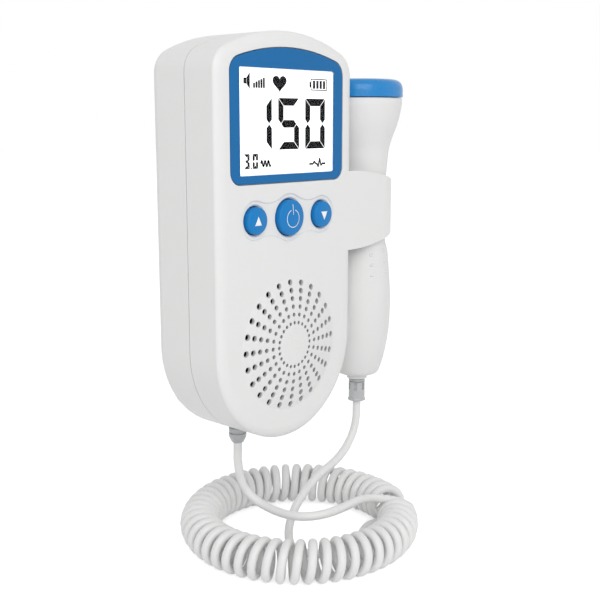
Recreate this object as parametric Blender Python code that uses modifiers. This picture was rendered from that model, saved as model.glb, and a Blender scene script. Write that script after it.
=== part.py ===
"""Fetal doppler monitor: a hand-held case with screen, buttons and speaker, a probe in a
side cradle, and a curly cord lying in a ring. Metres, +Z up, the front faces -Y.

The origin is on the case's back face, straight behind the power button.
"""
import math
from math import atan2, cos, degrees, pi, radians, sin, sqrt

import bmesh
import bpy
from mathutils import Matrix, Vector

# General fits
FIT = 0.0003
OVERRUN = 0.0010
WELD = 0.000001
SEAM = 0.00001

# Case: outline and walls; its depth follows from what it holds
CASE_WIDTH = 0.0650
CASE_ABOVE_BUTTONS = 0.0597
CASE_WALL = 0.0022
ARCH_RADIUS = 0.0680
SHOULDER_RADIUS = 0.0085
FRONT_FILLET = 0.0050
BACK_FILLET = 0.0040
FRONT_COVER_DEPTH = 0.0160
GRILLE_BELOW_BUTTONS = 0.0200

# Screen: blue bezel, clear window, display behind it
BEZEL_SIDE_MARGIN = 0.0058
BEZEL_TOP_MARGIN = 0.0054
BEZEL_ABOVE_BUTTONS = 0.0117
BEZEL_ARCH_RADIUS = 0.0800
BEZEL_SHOULDER_RADIUS = 0.0050
BEZEL_CORNER_RADIUS = 0.0040
BEZEL_THICKNESS = 0.0010
WINDOW_SIDE_BAND = 0.0041
WINDOW_BOTTOM_BAND = 0.0026
WINDOW_TOP_BAND = 0.0033
WINDOW_CORNER_RADIUS = 0.0004
PANEL_BORDER = 0.0014
PANEL_THICKNESS = 0.0022
FRAME_WALL = 0.0009

# Main board and the switches on it
BOARD_THICKNESS = 0.0016
BOARD_STEP = 0.0021
BOARD_NECK_WIDTH = 0.0420
BOARD_BELOW_BUTTONS = 0.0120
SWITCH_SIZE = 0.0060
SWITCH_HEIGHT = 0.0020
PLUNGER_RADIUS = 0.0017
PLUNGER_HEIGHT = 0.0007

# Buttons and the shallow recess round them
BUTTON_PITCH = 0.0160
POWER_RADIUS = 0.0059
ARROW_RADIUS = 0.0044
BUTTON_PROUD = 0.0011
BUTTON_CROWN = 0.0006
BUTTON_EDGE = 0.0003
BUTTON_GAP = 0.0003
BUTTON_FLANGE = 0.0010
BUTTON_FLANGE_THICKNESS = 0.0010
BUTTON_STEM_RADIUS = 0.0016
BUTTON_STEM_LENGTH = 0.0005
BUTTON_TRAVEL = 0.0006
BUTTON_CLEARANCE = 0.0002
BUTTON_CHAMFER = 0.0005
RECESS_MARGIN = 0.0024
RECESS_JOIN_RADIUS = 0.0080
RECESS_DEPTH = 0.0002

# Domed speaker grille
GRILLE_SIDE_MARGIN = 0.0097
GRILLE_RISE = 0.0026
GRILLE_THICKNESS = 0.0018
GRILLE_SKIRT = 0.0006
GRILLE_LIP = 0.0020
GRILLE_LIP_THICKNESS = 0.0012
GRILLE_FIRST_RING_SHARE = 0.33026
GRILLE_LAST_RING_SHARE = 0.92105
GRILLE_RINGS = 6
GRILLE_SPOKES = 24
GRILLE_SMALL_HOLE_SHARE = 0.05263
GRILLE_LARGE_HOLE_SHARE = 0.09649

# Speaker behind the grille
WELL_WALL = 0.0014
WELL_DEPTH = 0.0050
SPEAKER_RIM = 0.0012
SPEAKER_DEPTH = 0.0050
SPEAKER_WALL = 0.0010
BASKET_FLOOR_RADIUS = 0.0135
CONE_THICKNESS = 0.0006
CONE_CAP_RADIUS = 0.0060
MAGNET_RADIUS = 0.0125
MAGNET_THICKNESS = 0.0029
MAGNET_CLEARANCE = 0.00045

# Battery bay, its door and what is in it
CELL_RADIUS = 0.00725
CELL_BODY_LENGTH = 0.0490
CELL_NUB_RADIUS = 0.0027
CELL_NUB_HEIGHT = 0.0015
CELL_GAP = 0.0007
CELL_EDGE = 0.0008
BAY_CORNER_CLEARANCE = 0.00089
BAY_SIDE_CLEARANCE = 0.0007
BAY_WALL = 0.0012
CONTACT_THICKNESS = 0.0005
CONTACT_WIDTH = 0.0110
CONTACT_HEIGHT = 0.0120
SPRING_LENGTH = 0.0046
SPRING_WIRE = 0.0007
SPRING_BASE_RADIUS = 0.0046
SPRING_TIP_RADIUS = 0.0026
SPRING_TURNS = 3
DOOR_THICKNESS = 0.0020
DOOR_LEDGE = 0.0015
DOOR_TOP_RADIUS = 0.0030
DOOR_BOTTOM_RADIUS = 0.0080
LATCH_WIDTH = 0.0100
LATCH_LENGTH = 0.0090
LATCH_SLOT = 0.0009
LATCH_RIB = 0.0008
LATCH_RIB_RISE = 0.0005
LATCH_RIBS = 3
NOTCH_RADIUS = 0.0032
NOTCH_DEPTH = 0.0014

# Case screws
SCREW_TOP_SPACING = 0.0260
SCREW_TOP_GAP = 0.0009
BOSS_RADIUS = 0.0026
POST_WALL = 0.0010
POST_SEAT = 0.0030
SCREW_HEAD_RADIUS = 0.0024
SCREW_HEAD_HEIGHT = 0.0016
SCREW_RADIUS = 0.0011
SCREW_LENGTH = 0.0100
SCREW_HEAD_CLEARANCE = 0.0004

# Probe: turned shell, waist where the cradle grips it, flared head
PROBE_SIDE_GAP = 0.0032
WAIST_RADIUS = 0.0098
BELLY_RADIUS = 0.0121
FOOT_RADIUS = 0.0076
PROBE_WALL = 0.0016
WAIST_LEAD = 0.0063
WAIST_OVERSHOOT = 0.0007
BELLY_DROP = 0.0157
BELLY_LENGTH = 0.0090
HANDLE_DROP = 0.0507
FOOT_LENGTH = 0.0300
FOOT_EDGE = 0.0012
FLARE_LENGTH = 0.0240
HEAD_LENGTH = 0.0024
CAP_RADIUS = 0.0158
CAP_HEIGHT = 0.0064
CAP_EDGE = 0.0036
CAP_WALL = 0.0016
CAP_SPIGOT = 0.0030
CAP_RIM = 0.0008
HOLDER_THICKNESS = 0.0024
HOLDER_STEM_RADIUS = 0.0040
HOLDER_STEM_LENGTH = 0.0120
CRYSTAL_MARGIN = 0.0017
CRYSTAL_THICKNESS = 0.0010
CRYSTAL_SPLIT = 0.0010
PROBE_BOARD_WIDTH = 0.0120
PROBE_BOARD_LENGTH = 0.0420
PROBE_BOARD_THICKNESS = 0.0012

# Cradle moulded on the front cover, round the probe's waist
CRADLE_WALL = 0.0016
CRADLE_CLEARANCE = 0.0007
CRADLE_WRAP = 12.0
CRADLE_BOTTOM = 0.0141
CRADLE_TOP = 0.0182
CRADLE_END_TOP = 0.0125
CRADLE_CORNER_RADIUS = 0.0048
CRADLE_FOOT_RADIUS = 0.0030
CRADLE_SWEEP_SHARE = 0.85

# Strain relief at each end of the cord
RELIEF_RADIUS = 0.00315
RELIEF_LIP = 0.0003
RELIEF_NECK_RADIUS = 0.0024
RELIEF_FLANGE_RADIUS = 0.0042
RELIEF_FLANGE_THICKNESS = 0.0012
RELIEF_TIP_RADIUS = 0.0021
UNIT_RELIEF_X = -0.0045
UNIT_RELIEF_BEHIND_PARTING = 0.0053
UNIT_RELIEF_COLLAR = 0.0033
UNIT_RELIEF_TAPER = 0.0022
PROBE_RELIEF_COLLAR = 0.0086
PROBE_BOSS_RADIUS = 0.0039
PROBE_BOSS_HEIGHT = 0.0020
RELIEF_SLOTS = 6
RELIEF_SLOT_WIDTH = 0.0010
RELIEF_SLOT_DEPTH = 0.0007
RELIEF_SLOT_LENGTH = 0.0028
RELIEF_GROOVE = 0.0005

# Cord: its curls lie in a ring, with a smooth tail to each strain relief
CORD_DIAMETER = 0.0031
CURL_OUTER_DIAMETER = 0.0150
CURL_COUNT = 50
CURL_POINTS = 8
RING_RADIUS = 0.0364
RING_X = 0.0165
RING_Y = -0.0203
FLOOR_BELOW_BUTTONS = 0.1211
RING_START = -41.5
RING_GAP = 13.5
TAIL_STEP = 0.0078
UNIT_ROUTE = (
    (-0.0045, -0.0097, -0.0900),
    (-0.0030, -0.0102, -0.0975),
    (-0.0012, -0.0120, -0.1018),
    (0.0005, -0.0160, -0.1042),
    (0.0008, -0.0225, -0.1052),
    (0.0005, -0.0300, -0.1048),
    (0.0025, -0.0360, -0.1043),
    (0.0080, -0.0398, -0.1040),
    (0.0160, -0.0408, -0.1040),
    (0.0250, -0.0402, -0.1042),
    (0.0335, -0.0397, -0.1056),
)
PROBE_ROUTE = (
    (0.0512, -0.0189, -0.0850),
    (0.0484, -0.0189, -0.0905),
    (0.0432, -0.0189, -0.0955),
    (0.0365, -0.0189, -0.0985),
    (0.0295, -0.0189, -0.1003),
    (0.0225, -0.0189, -0.1040),
    (0.0160, -0.0189, -0.1092),
    (0.0105, -0.0205, -0.1150),
    (0.0060, -0.0250, -0.1190),
    (0.0045, -0.0310, -0.11955),
    (0.0075, -0.0372, -0.11955),
    (0.0140, -0.0408, -0.11955),
    (0.0220, -0.0410, -0.11955),
    (0.0300, -0.0388, -0.11955),
    (0.0370, -0.0352, -0.11955),
)

# Sizes and places that follow from the sizes above
SPEAKER_STACK = CASE_WALL + GRILLE_LIP_THICKNESS + SPEAKER_DEPTH + MAGNET_THICKNESS + 3 * FIT
CELL_SEAT = CASE_WALL + DOOR_LEDGE / 2 - 2 * FIT
BAY_DEPTH = CELL_SEAT + 2 * CELL_RADIUS + FIT + BAY_WALL
CASE_DEPTH = SPEAKER_STACK + MAGNET_CLEARANCE + BAY_DEPTH
GRILLE_RADIUS = CASE_WIDTH / 2 - GRILLE_SIDE_MARGIN
FRONT_Y = -CASE_DEPTH
INNER_FRONT_Y = FRONT_Y + CASE_WALL
INNER_BACK_Y = -CASE_WALL
PARTING_Y = FRONT_Y + FRONT_COVER_DEPTH
GRILLE_Z = -GRILLE_BELOW_BUTTONS - GRILLE_RADIUS
CASE_BOTTOM_Z = GRILLE_Z - CASE_WIDTH / 2
CASE_TOP_Z = CASE_ABOVE_BUTTONS

BEZEL_HALF = CASE_WIDTH / 2 - BEZEL_SIDE_MARGIN
BEZEL_TOP_Z = CASE_TOP_Z - BEZEL_TOP_MARGIN
BEZEL_BACK_Y = FRONT_Y + BEZEL_THICKNESS
WINDOW_HALF = BEZEL_HALF - WINDOW_SIDE_BAND
WINDOW_BOTTOM_Z = BEZEL_ABOVE_BUTTONS + WINDOW_BOTTOM_BAND
BEZEL_FALL = BEZEL_ARCH_RADIUS - sqrt(BEZEL_ARCH_RADIUS ** 2 - WINDOW_HALF ** 2)
WINDOW_TOP_Z = BEZEL_TOP_Z - BEZEL_FALL - WINDOW_TOP_BAND
PANEL_FRONT_Y = BEZEL_BACK_Y + FIT
PANEL_BACK_Y = PANEL_FRONT_Y + PANEL_THICKNESS
FRAME_FRONT_Y = INNER_FRONT_Y + FIT
STEM_END_Y = INNER_FRONT_Y + FIT + BUTTON_FLANGE_THICKNESS + BUTTON_STEM_LENGTH
SWITCH_TOP_Y = STEM_END_Y + BUTTON_TRAVEL + BUTTON_CLEARANCE
SWITCH_BACK_Y = SWITCH_TOP_Y + SWITCH_HEIGHT + PLUNGER_HEIGHT
BOARD_FRONT_Y = SWITCH_BACK_Y + FIT
BOARD_BACK_Y = BOARD_FRONT_Y + BOARD_THICKNESS
FRAME_BACK_Y = BOARD_FRONT_Y - FIT

GRILLE_LIP_Y = INNER_FRONT_Y + FIT
LIP_RADIUS = GRILLE_RADIUS + GRILLE_LIP
WELL_RADIUS = LIP_RADIUS + FIT
SPEAKER_FRONT_Y = GRILLE_LIP_Y + GRILLE_LIP_THICKNESS + FIT

CELL_LENGTH = CELL_BODY_LENGTH + CELL_NUB_HEIGHT
CELL_X = CELL_RADIUS + CELL_GAP / 2
CELL_Y = -CELL_SEAT - CELL_RADIUS
BAY_HALF = CELL_X + CELL_RADIUS + BAY_SIDE_CLEARANCE
BAY_LENGTH = CELL_LENGTH + SPRING_LENGTH + 2 * CONTACT_THICKNESS + 5 * FIT
BAY_OUTER = DOOR_LEDGE + BAY_WALL
BAY_CORNER_DROP = sqrt((CASE_WIDTH / 2 - CASE_WALL) ** 2 - (BAY_HALF + BAY_OUTER) ** 2)
BAY_BOTTOM_Z = GRILLE_Z - BAY_CORNER_DROP + BAY_OUTER + BAY_CORNER_CLEARANCE
BAY_TOP_Z = BAY_BOTTOM_Z + BAY_LENGTH
BAY_FLOOR_Y = CELL_Y - CELL_RADIUS - FIT
DOOR_HALF = BAY_HALF + DOOR_LEDGE
DOOR_TOP_Z = BAY_TOP_Z + DOOR_LEDGE
DOOR_BOTTOM_Z = BAY_BOTTOM_Z - DOOR_LEDGE
DOOR_SEAT_Y = -DOOR_THICKNESS - FIT

POST_RADIUS = SCREW_HEAD_RADIUS + SCREW_HEAD_CLEARANCE + POST_WALL
SCREW_TOP_Z = WINDOW_TOP_Z + PANEL_BORDER + FIT + FRAME_WALL + SCREW_TOP_GAP + BOSS_RADIUS
SCREW_RING = WELL_RADIUS + BOSS_RADIUS + FIT
SCREW_BOTTOM_X = BAY_HALF + BAY_OUTER + BOSS_RADIUS + 2 * FIT
SCREW_BOTTOM_Z = GRILLE_Z - sqrt(SCREW_RING ** 2 - SCREW_BOTTOM_X ** 2)
SCREW_PLACES = (
    (-SCREW_TOP_SPACING / 2, SCREW_TOP_Z),
    (SCREW_TOP_SPACING / 2, SCREW_TOP_Z),
    (-SCREW_BOTTOM_X, SCREW_BOTTOM_Z),
    (SCREW_BOTTOM_X, SCREW_BOTTOM_Z),
)

CRADLE_BORE = WAIST_RADIUS + CRADLE_CLEARANCE
CRADLE_RADIUS = CRADLE_BORE + CRADLE_WALL
HEAD_RADIUS = CAP_RADIUS - FIT
HOLDER_RADIUS = HEAD_RADIUS - PROBE_WALL - CAP_WALL - 2 * FIT
CRYSTAL_RADIUS = HOLDER_RADIUS - CRYSTAL_MARGIN
PROBE_X = CASE_WIDTH / 2 + PROBE_SIDE_GAP + CAP_RADIUS
PROBE_Y = FRONT_Y + CRADLE_RADIUS
WAIST_LOW_Z = -CRADLE_BOTTOM + WAIST_LEAD
WAIST_HIGH_Z = CRADLE_END_TOP + WAIST_OVERSHOOT
BELLY_HIGH_Z = -CRADLE_BOTTOM - BELLY_DROP
BELLY_LOW_Z = BELLY_HIGH_Z - BELLY_LENGTH
PROBE_BOTTOM_Z = -CRADLE_BOTTOM - HANDLE_DROP
HEAD_LOW_Z = WAIST_HIGH_Z + FLARE_LENGTH
SHELL_TOP_Z = HEAD_LOW_Z + HEAD_LENGTH
CAP_BOTTOM_Z = SHELL_TOP_Z + FIT
CAP_TOP_Z = CAP_BOTTOM_Z + CAP_HEIGHT

UNIT_RELIEF_Y = PARTING_Y + UNIT_RELIEF_BEHIND_PARTING
CURL_RADIUS = (CURL_OUTER_DIAMETER - CORD_DIAMETER) / 2
FLOOR_Z = -FLOOR_BELOW_BUTTONS
RING_Z = FLOOR_Z + CURL_OUTER_DIAMETER / 2


def clear_scene():
    """Remove every object that the file opened with."""
    for leftover in list(bpy.data.objects):
        bpy.data.objects.remove(leftover, do_unlink=True)


clear_scene()
PARTS = bpy.data.collections.new("fetal_doppler_monitor")
TOOLS = bpy.data.collections.new("cutters")
bpy.context.scene.collection.children.link(PARTS)
bpy.context.scene.collection.children.link(TOOLS)


def material(name, colour, roughness, metallic=0.0):
    """A plain Principled material of one colour."""
    made = bpy.data.materials.new(name)
    made.use_nodes = True
    shader = made.node_tree.nodes["Principled BSDF"]
    shader.inputs["Base Color"].default_value = (*colour, 1.0)
    shader.inputs["Roughness"].default_value = roughness
    shader.inputs["Metallic"].default_value = metallic
    return made


SHELL_WHITE = material("shell_white", (0.80, 0.80, 0.79), 0.42)
BEZEL_BLUE = material("bezel_blue", (0.03, 0.18, 0.52), 0.30)
BUTTON_BLUE = material("button_blue", (0.02, 0.23, 0.66), 0.32)
CLEAR = material("clear_window", (0.90, 0.93, 0.95), 0.05)
DISPLAY = material("display_glass", (0.85, 0.87, 0.86), 0.15)
INNER_WHITE = material("inner_white", (0.75, 0.75, 0.73), 0.55)
BOARD_GREEN = material("board_green", (0.02, 0.20, 0.07), 0.45)
DARK = material("dark_plastic", (0.03, 0.03, 0.03), 0.50)
STEEL = material("steel", (0.60, 0.60, 0.61), 0.30, 1.0)
CORD_WHITE = material("cord_white", (0.82, 0.82, 0.81), 0.50)
RELIEF_GREY = material("relief_grey", (0.45, 0.45, 0.46), 0.45)
CRYSTAL = material("crystal", (0.55, 0.48, 0.35), 0.35)


def arc(centre_u, centre_v, radius, start, end, steps):
    """Points along an arc, both ends included, angles in degrees."""
    angles = [radians(start + (end - start) * step / steps) for step in range(steps + 1)]
    return [(centre_u + radius * cos(angle), centre_v + radius * sin(angle)) for angle in angles]


def tidy(points):
    """The outline without points that repeat their neighbour."""
    kept = []
    for point in points:
        if not kept or math.dist(point, kept[-1]) > WELD:
            kept.append(point)
    if math.dist(kept[0], kept[-1]) <= WELD:
        kept.pop()
    return kept


def arched_outline(half, top, bottom, arch, shoulder, corner, inset=0.0, steps=9):
    """Straight sides, arched top, rounded shoulders and lower corners, drawn in by inset."""
    shoulder_x = half - shoulder
    arch_z = top - arch
    shoulder_z = arch_z + sqrt((arch - shoulder) ** 2 - shoulder_x ** 2)
    lean = degrees(atan2(shoulder_z - arch_z, shoulder_x))
    corner_x = half - corner
    corner_z = bottom + corner
    points = arc(-corner_x, corner_z, corner - inset, 180, 270, steps)
    points += arc(corner_x, corner_z, corner - inset, 270, 360, steps)
    points += arc(shoulder_x, shoulder_z, shoulder - inset, 0, lean, 4)
    points += arc(0, arch_z, arch - inset, lean, 180 - lean, 8)
    points += arc(-shoulder_x, shoulder_z, shoulder - inset, 180 - lean, 180, 4)
    return tidy(points)


def case_outline(inset=0.0):
    """The case's outline seen from the front."""
    return arched_outline(CASE_WIDTH / 2, CASE_TOP_Z, CASE_BOTTOM_Z, ARCH_RADIUS, SHOULDER_RADIUS,
                          CASE_WIDTH / 2, inset)


def bezel_outline(inset=0.0):
    """The blue bezel's outline."""
    return arched_outline(BEZEL_HALF, BEZEL_TOP_Z, BEZEL_ABOVE_BUTTONS, BEZEL_ARCH_RADIUS,
                          BEZEL_SHOULDER_RADIUS, BEZEL_CORNER_RADIUS, inset, 4)


def rounded_rectangle(left, right, low, high, low_radius, high_radius, steps=4):
    """A rectangle with its lower and upper corners rounded."""
    points = arc(left + low_radius, low + low_radius, low_radius, 180, 270, steps)
    points += arc(right - low_radius, low + low_radius, low_radius, 270, 360, steps)
    points += arc(right - high_radius, high - high_radius, high_radius, 0, 90, steps)
    points += arc(left + high_radius, high - high_radius, high_radius, 90, 180, steps)
    return tidy(points)


def window_outline(margin=0.0):
    """The clear window's outline, grown by a margin."""
    return rounded_rectangle(-WINDOW_HALF - margin, WINDOW_HALF + margin, WINDOW_BOTTOM_Z - margin,
                             WINDOW_TOP_Z + margin, WINDOW_CORNER_RADIUS, WINDOW_CORNER_RADIUS, 2)


def add_object(name, mesh, finish=None):
    """Link a mesh as a named part, or as a tool where it has no finish."""
    made = bpy.data.objects.new(name, mesh)
    if finish is None:
        TOOLS.objects.link(made)
        made.hide_render = True
        made.display_type = "WIRE"
    else:
        PARTS.objects.link(made)
        mesh.materials.append(finish)
    return made


def flat_solid(name, outline, start, end, finish=None, along="Y"):
    """An outline made solid: in the XZ plane between two depths, or in plan between two heights."""
    curve = bpy.data.curves.new(name, "CURVE")
    curve.dimensions = "2D"
    curve.fill_mode = "BOTH"
    curve.extrude = (end - start) / 2
    spline = curve.splines.new("POLY")
    spline.points.add(len(outline) - 1)
    for point, (u, v) in zip(spline.points, outline):
        point.co = (u, v, 0, 1)
    spline.use_cyclic_u = True
    drawing = bpy.data.objects.new(name, curve)
    bpy.context.scene.collection.objects.link(drawing)
    middle = (start + end) / 2
    if along == "Y":
        drawing.matrix_world = Matrix.Translation((0, middle, 0)) @ Matrix.Rotation(pi / 2, 4, "X")
    else:
        drawing.matrix_world = Matrix.Translation((0, 0, middle))
    mesh = mesh_of(drawing)
    axis = 1 if along == "Y" else 2
    for corner in mesh.vertices:
        corner.co[axis] = start if corner.co[axis] < middle else end
    return add_object(name, mesh, finish)


def mesh_of(drawing, flat=True):
    """The mesh of a curve in world space, its caps welded, with the curve removed."""
    bpy.context.view_layer.update()
    graph = bpy.context.evaluated_depsgraph_get()
    mesh = bpy.data.meshes.new_from_object(drawing.evaluated_get(graph))
    mesh.transform(drawing.matrix_world)
    cage = bmesh.new()
    cage.from_mesh(mesh)
    bmesh.ops.remove_doubles(cage, verts=cage.verts, dist=WELD)
    if flat:
        bmesh.ops.dissolve_limit(cage, angle_limit=radians(0.05), verts=cage.verts, edges=cage.edges)
    bmesh.ops.recalc_face_normals(cage, faces=cage.faces)
    cage.to_mesh(mesh)
    cage.free()
    bpy.data.objects.remove(drawing, do_unlink=True)
    return mesh


def round_edges(solid, depth, radius, segments, axis=1):
    """Round the edges that lie at one depth of a flat solid."""
    cage = bmesh.new()
    cage.from_mesh(solid.data)
    edges = [edge for edge in cage.edges
             if all(abs(corner.co[axis] - depth) < FIT / 2 for corner in edge.verts)]
    bmesh.ops.bevel(cage, geom=edges, offset=radius, offset_type="OFFSET", segments=segments,
                    profile=0.5, affect="EDGES", clamp_overlap=False)
    cage.to_mesh(solid.data)
    cage.free()


def turned(name, profile, place, finish=None, facing="up", steps=24, closed=False):
    """A profile of (radius, height) turned about its axis, which points up, to the front or back."""
    mesh = bpy.data.meshes.new(name)
    count = len(profile)
    edges = [(index, index + 1) for index in range(count - 1)]
    if closed:
        edges.append((count - 1, 0))
    mesh.from_pydata([(radius, 0, height) for radius, height in profile], edges, [])
    made = add_object(name, mesh, finish)
    tilt = {"up": 0, "front": pi / 2, "back": -pi / 2}[facing]
    made.matrix_world = Matrix.Translation(place) @ Matrix.Rotation(tilt, 4, "X")
    spin = made.modifiers.new("Turn", "SCREW")
    spin.steps = steps
    spin.render_steps = steps
    spin.use_merge_vertices = True
    spin.merge_threshold = SEAM
    spin.use_smooth_shade = False
    return made


def cylinder(name, radius, start, end, place, finish=None, facing="front", steps=16):
    """A plain cylinder between two heights along its own axis."""
    profile = [(0, end), (radius, end), (radius, start), (0, start)]
    return turned(name, profile, place, finish, facing, steps)


def block(name, low, high, finish=None):
    """A box between its lowest and highest corners."""
    cage = bmesh.new()
    size = Vector(high) - Vector(low)
    middle = (Vector(high) + Vector(low)) / 2
    bmesh.ops.create_cube(cage, size=1, matrix=Matrix.Translation(middle) @ Matrix.Diagonal((*size, 1)))
    mesh = bpy.data.meshes.new(name)
    cage.to_mesh(mesh)
    cage.free()
    return add_object(name, mesh, finish)


def combine(target, tool, operation):
    """Cut, join or trim a part with another solid, which becomes a tool."""
    change = target.modifiers.new(operation.title(), "BOOLEAN")
    change.operation = operation
    change.object = tool
    change.solver = "EXACT"


def cut(target, *tools):
    """Take tools away from a part."""
    for tool in tools:
        combine(target, tool, "DIFFERENCE")


def join(target, *tools):
    """Grow a part by further solids."""
    for tool in tools:
        combine(target, tool, "UNION")


def move_origin(made, point):
    """Put a part's origin at a point without moving the part."""
    offset = Vector(point) - made.location
    made.data.transform(Matrix.Translation(-offset))
    made.location = point


def cradle_plan():
    """The cradle seen from above: a flat front that wraps round the probe's waist."""
    axis = (PROBE_X, PROBE_Y)
    root_x = CASE_WIDTH / 2 - FRONT_FILLET - CASE_WALL
    plate_back = FRONT_Y + CRADLE_WALL
    side_x = CASE_WIDTH / 2 - CASE_WALL / 2
    meeting = degrees(math.asin((plate_back - PROBE_Y) / CRADLE_RADIUS))
    points = [(root_x, FRONT_Y)]
    points += arc(*axis, CRADLE_RADIUS, -90, CRADLE_WRAP, 12)
    points += arc(*axis, CRADLE_BORE, CRADLE_WRAP, -180 - CRADLE_WRAP, 20)
    points += arc(*axis, CRADLE_RADIUS, -180 - CRADLE_WRAP, -180 - meeting, 8)
    corner = CRADLE_FOOT_RADIUS
    points += arc(CASE_WIDTH / 2 + corner, plate_back + corner, corner, -90, -180, 3)
    points += [(side_x, plate_back + 2 * corner), (root_x, plate_back + 2 * corner)]
    return tidy(points)


def cradle_front():
    """The cradle seen from the front: its top falls away to the right, its end corners are round."""
    left = CASE_WIDTH / 2 - 2 * FRONT_FILLET
    shoulder_x = CASE_WIDTH / 2
    right = PROBE_X + CRADLE_RADIUS + OVERRUN
    low = -CRADLE_BOTTOM
    run = right - shoulder_x
    drop = CRADLE_TOP - CRADLE_END_TOP
    sweep = (run ** 2 + drop ** 2) / (2 * drop)
    fall = degrees(math.asin(run / sweep))
    corner = CRADLE_CORNER_RADIUS
    points = [(left, low)]
    points += arc(right - corner, low + corner, corner, 270, 360, 4)
    points += arc(right - corner, CRADLE_END_TOP - corner, corner, 0, 90 - fall, 4)
    points += arc(shoulder_x, CRADLE_TOP - sweep, sweep, 90 - fall * CRADLE_SWEEP_SHARE, 90, 5)
    points += [(left, points[-1][1])]
    return tidy(points)


def make_cradle():
    """The solid that the front cover grows on its side to hold the probe."""
    cradle = flat_solid("cradle_body", cradle_plan(), -CRADLE_BOTTOM - OVERRUN, CRADLE_TOP + OVERRUN,
                        None, "Z")
    trim = flat_solid("cradle_trim", cradle_front(), FRONT_Y - OVERRUN, OVERRUN)
    combine(cradle, trim, "INTERSECT")
    web = block("cradle_web",
                (CASE_WIDTH / 2 - CASE_WALL / 2, PROBE_Y - CRADLE_WALL / 2, -CRADLE_BOTTOM + FIT),
                (PROBE_X - CRADLE_BORE - CRADLE_WALL / 2, PROBE_Y + CRADLE_WALL / 2, CRADLE_END_TOP))
    return cradle, web


def button_recess():
    """Outline of the shallow three-lobed recess: a circle round each button, smoothly joined."""
    small = ARROW_RADIUS + RECESS_MARGIN
    large = POWER_RADIUS + RECESS_MARGIN
    join_radius = RECESS_JOIN_RADIUS
    reach_small = small + join_radius
    reach_large = large + join_radius
    along = (reach_large ** 2 - reach_small ** 2 + BUTTON_PITCH ** 2) / (2 * BUTTON_PITCH)
    up = sqrt(reach_large ** 2 - along ** 2)
    large_angle = degrees(atan2(up, along))
    small_angle = degrees(atan2(up, along - BUTTON_PITCH))
    upper = arc(BUTTON_PITCH, 0, small, -small_angle, small_angle, 12)
    upper += arc(along, up, join_radius, small_angle - 180, large_angle - 180, 3)[1:-1]
    upper += arc(0, 0, large, large_angle, 180 - large_angle, 4)
    left = [(-u, -v) for u, v in upper]
    return tidy(upper + left_side_join(along, up, join_radius, large_angle, small_angle) + left
                + right_side_join(along, up, join_radius, large_angle, small_angle))


def left_side_join(along, up, radius, large_angle, small_angle):
    """The hollow between the middle lobe and the left one, above the buttons."""
    points = arc(along, up, radius, small_angle - 180, large_angle - 180, 3)[1:-1]
    return [(-u, v) for u, v in reversed(points)]


def right_side_join(along, up, radius, large_angle, small_angle):
    """The hollow between the middle lobe and the right one, below the buttons."""
    return [(-u, -v) for u, v in left_side_join(along, up, radius, large_angle, small_angle)]


def make_front_cover():
    """Front half of the case, with the cradle, the speaker well and the screw bosses."""
    cover = flat_solid("front_cover", case_outline(), FRONT_Y, PARTING_Y, SHELL_WHITE)
    round_edges(cover, FRONT_Y, FRONT_FILLET, 3)
    join(cover, *make_cradle())
    cavity = flat_solid("front_cavity", case_outline(CASE_WALL), INNER_FRONT_Y, PARTING_Y + OVERRUN)
    round_edges(cavity, INNER_FRONT_Y, FRONT_FILLET - CASE_WALL, 2)
    cut(cover, cavity)
    middle = (0, INNER_FRONT_Y, GRILLE_Z)
    sunk = CASE_WALL / 2
    well = [(WELL_RADIUS + WELL_WALL, sunk), (WELL_RADIUS + WELL_WALL, -WELL_DEPTH),
            (WELL_RADIUS, -WELL_DEPTH), (WELL_RADIUS, sunk)]
    join(cover, turned("speaker_well", well, middle, None, "front", 24, True))
    for number, (x, z) in enumerate(SCREW_PLACES, 1):
        boss_length = PARTING_Y - INNER_FRONT_Y
        join(cover, cylinder(f"boss_{number}", BOSS_RADIUS, -boss_length, sunk, (x, INNER_FRONT_Y, z),
                             steps=12))
        cut(cover, cylinder(f"pilot_{number}", SCREW_RADIUS + FIT, -boss_length - OVERRUN,
                            -FIT, (x, INNER_FRONT_Y, z), steps=8))
    recess = flat_solid("bezel_recess", bezel_outline(-FIT), FRONT_Y - OVERRUN, BEZEL_BACK_Y + FIT)
    opening = flat_solid("display_opening", window_outline(PANEL_BORDER + FIT), FRONT_Y - OVERRUN,
                         INNER_FRONT_Y + OVERRUN)
    cut(cover, recess, opening)
    cut(cover, cylinder("grille_opening", GRILLE_RADIUS + FIT, -CASE_WALL - OVERRUN, OVERRUN,
                        (0, FRONT_Y, GRILLE_Z), steps=40))
    cut(cover, flat_solid("button_recess", button_recess(), FRONT_Y - OVERRUN, FRONT_Y + RECESS_DEPTH))
    for name, x, radius in button_places():
        hole = radius + BUTTON_GAP
        rim = hole + BUTTON_CHAMFER
        floor = -RECESS_DEPTH
        profile = [(0, OVERRUN), (rim, OVERRUN), (rim, floor), (hole, floor - BUTTON_CHAMFER),
                   (hole, -CASE_WALL - OVERRUN), (0, -CASE_WALL - OVERRUN)]
        cut(cover, turned(f"{name}_hole", profile, (x, FRONT_Y, 0), None, "front", 20))
    return cover


def button_places():
    """Name, place across the case and radius of each button."""
    return (("up_button", -BUTTON_PITCH, ARROW_RADIUS),
            ("power_button", 0, POWER_RADIUS),
            ("down_button", BUTTON_PITCH, ARROW_RADIUS))


def dome_height(radius):
    """Height of the grille's dome above the case's front at a radius from its middle."""
    return GRILLE_RISE * (1 - (radius / GRILLE_RADIUS) ** 2)


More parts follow.
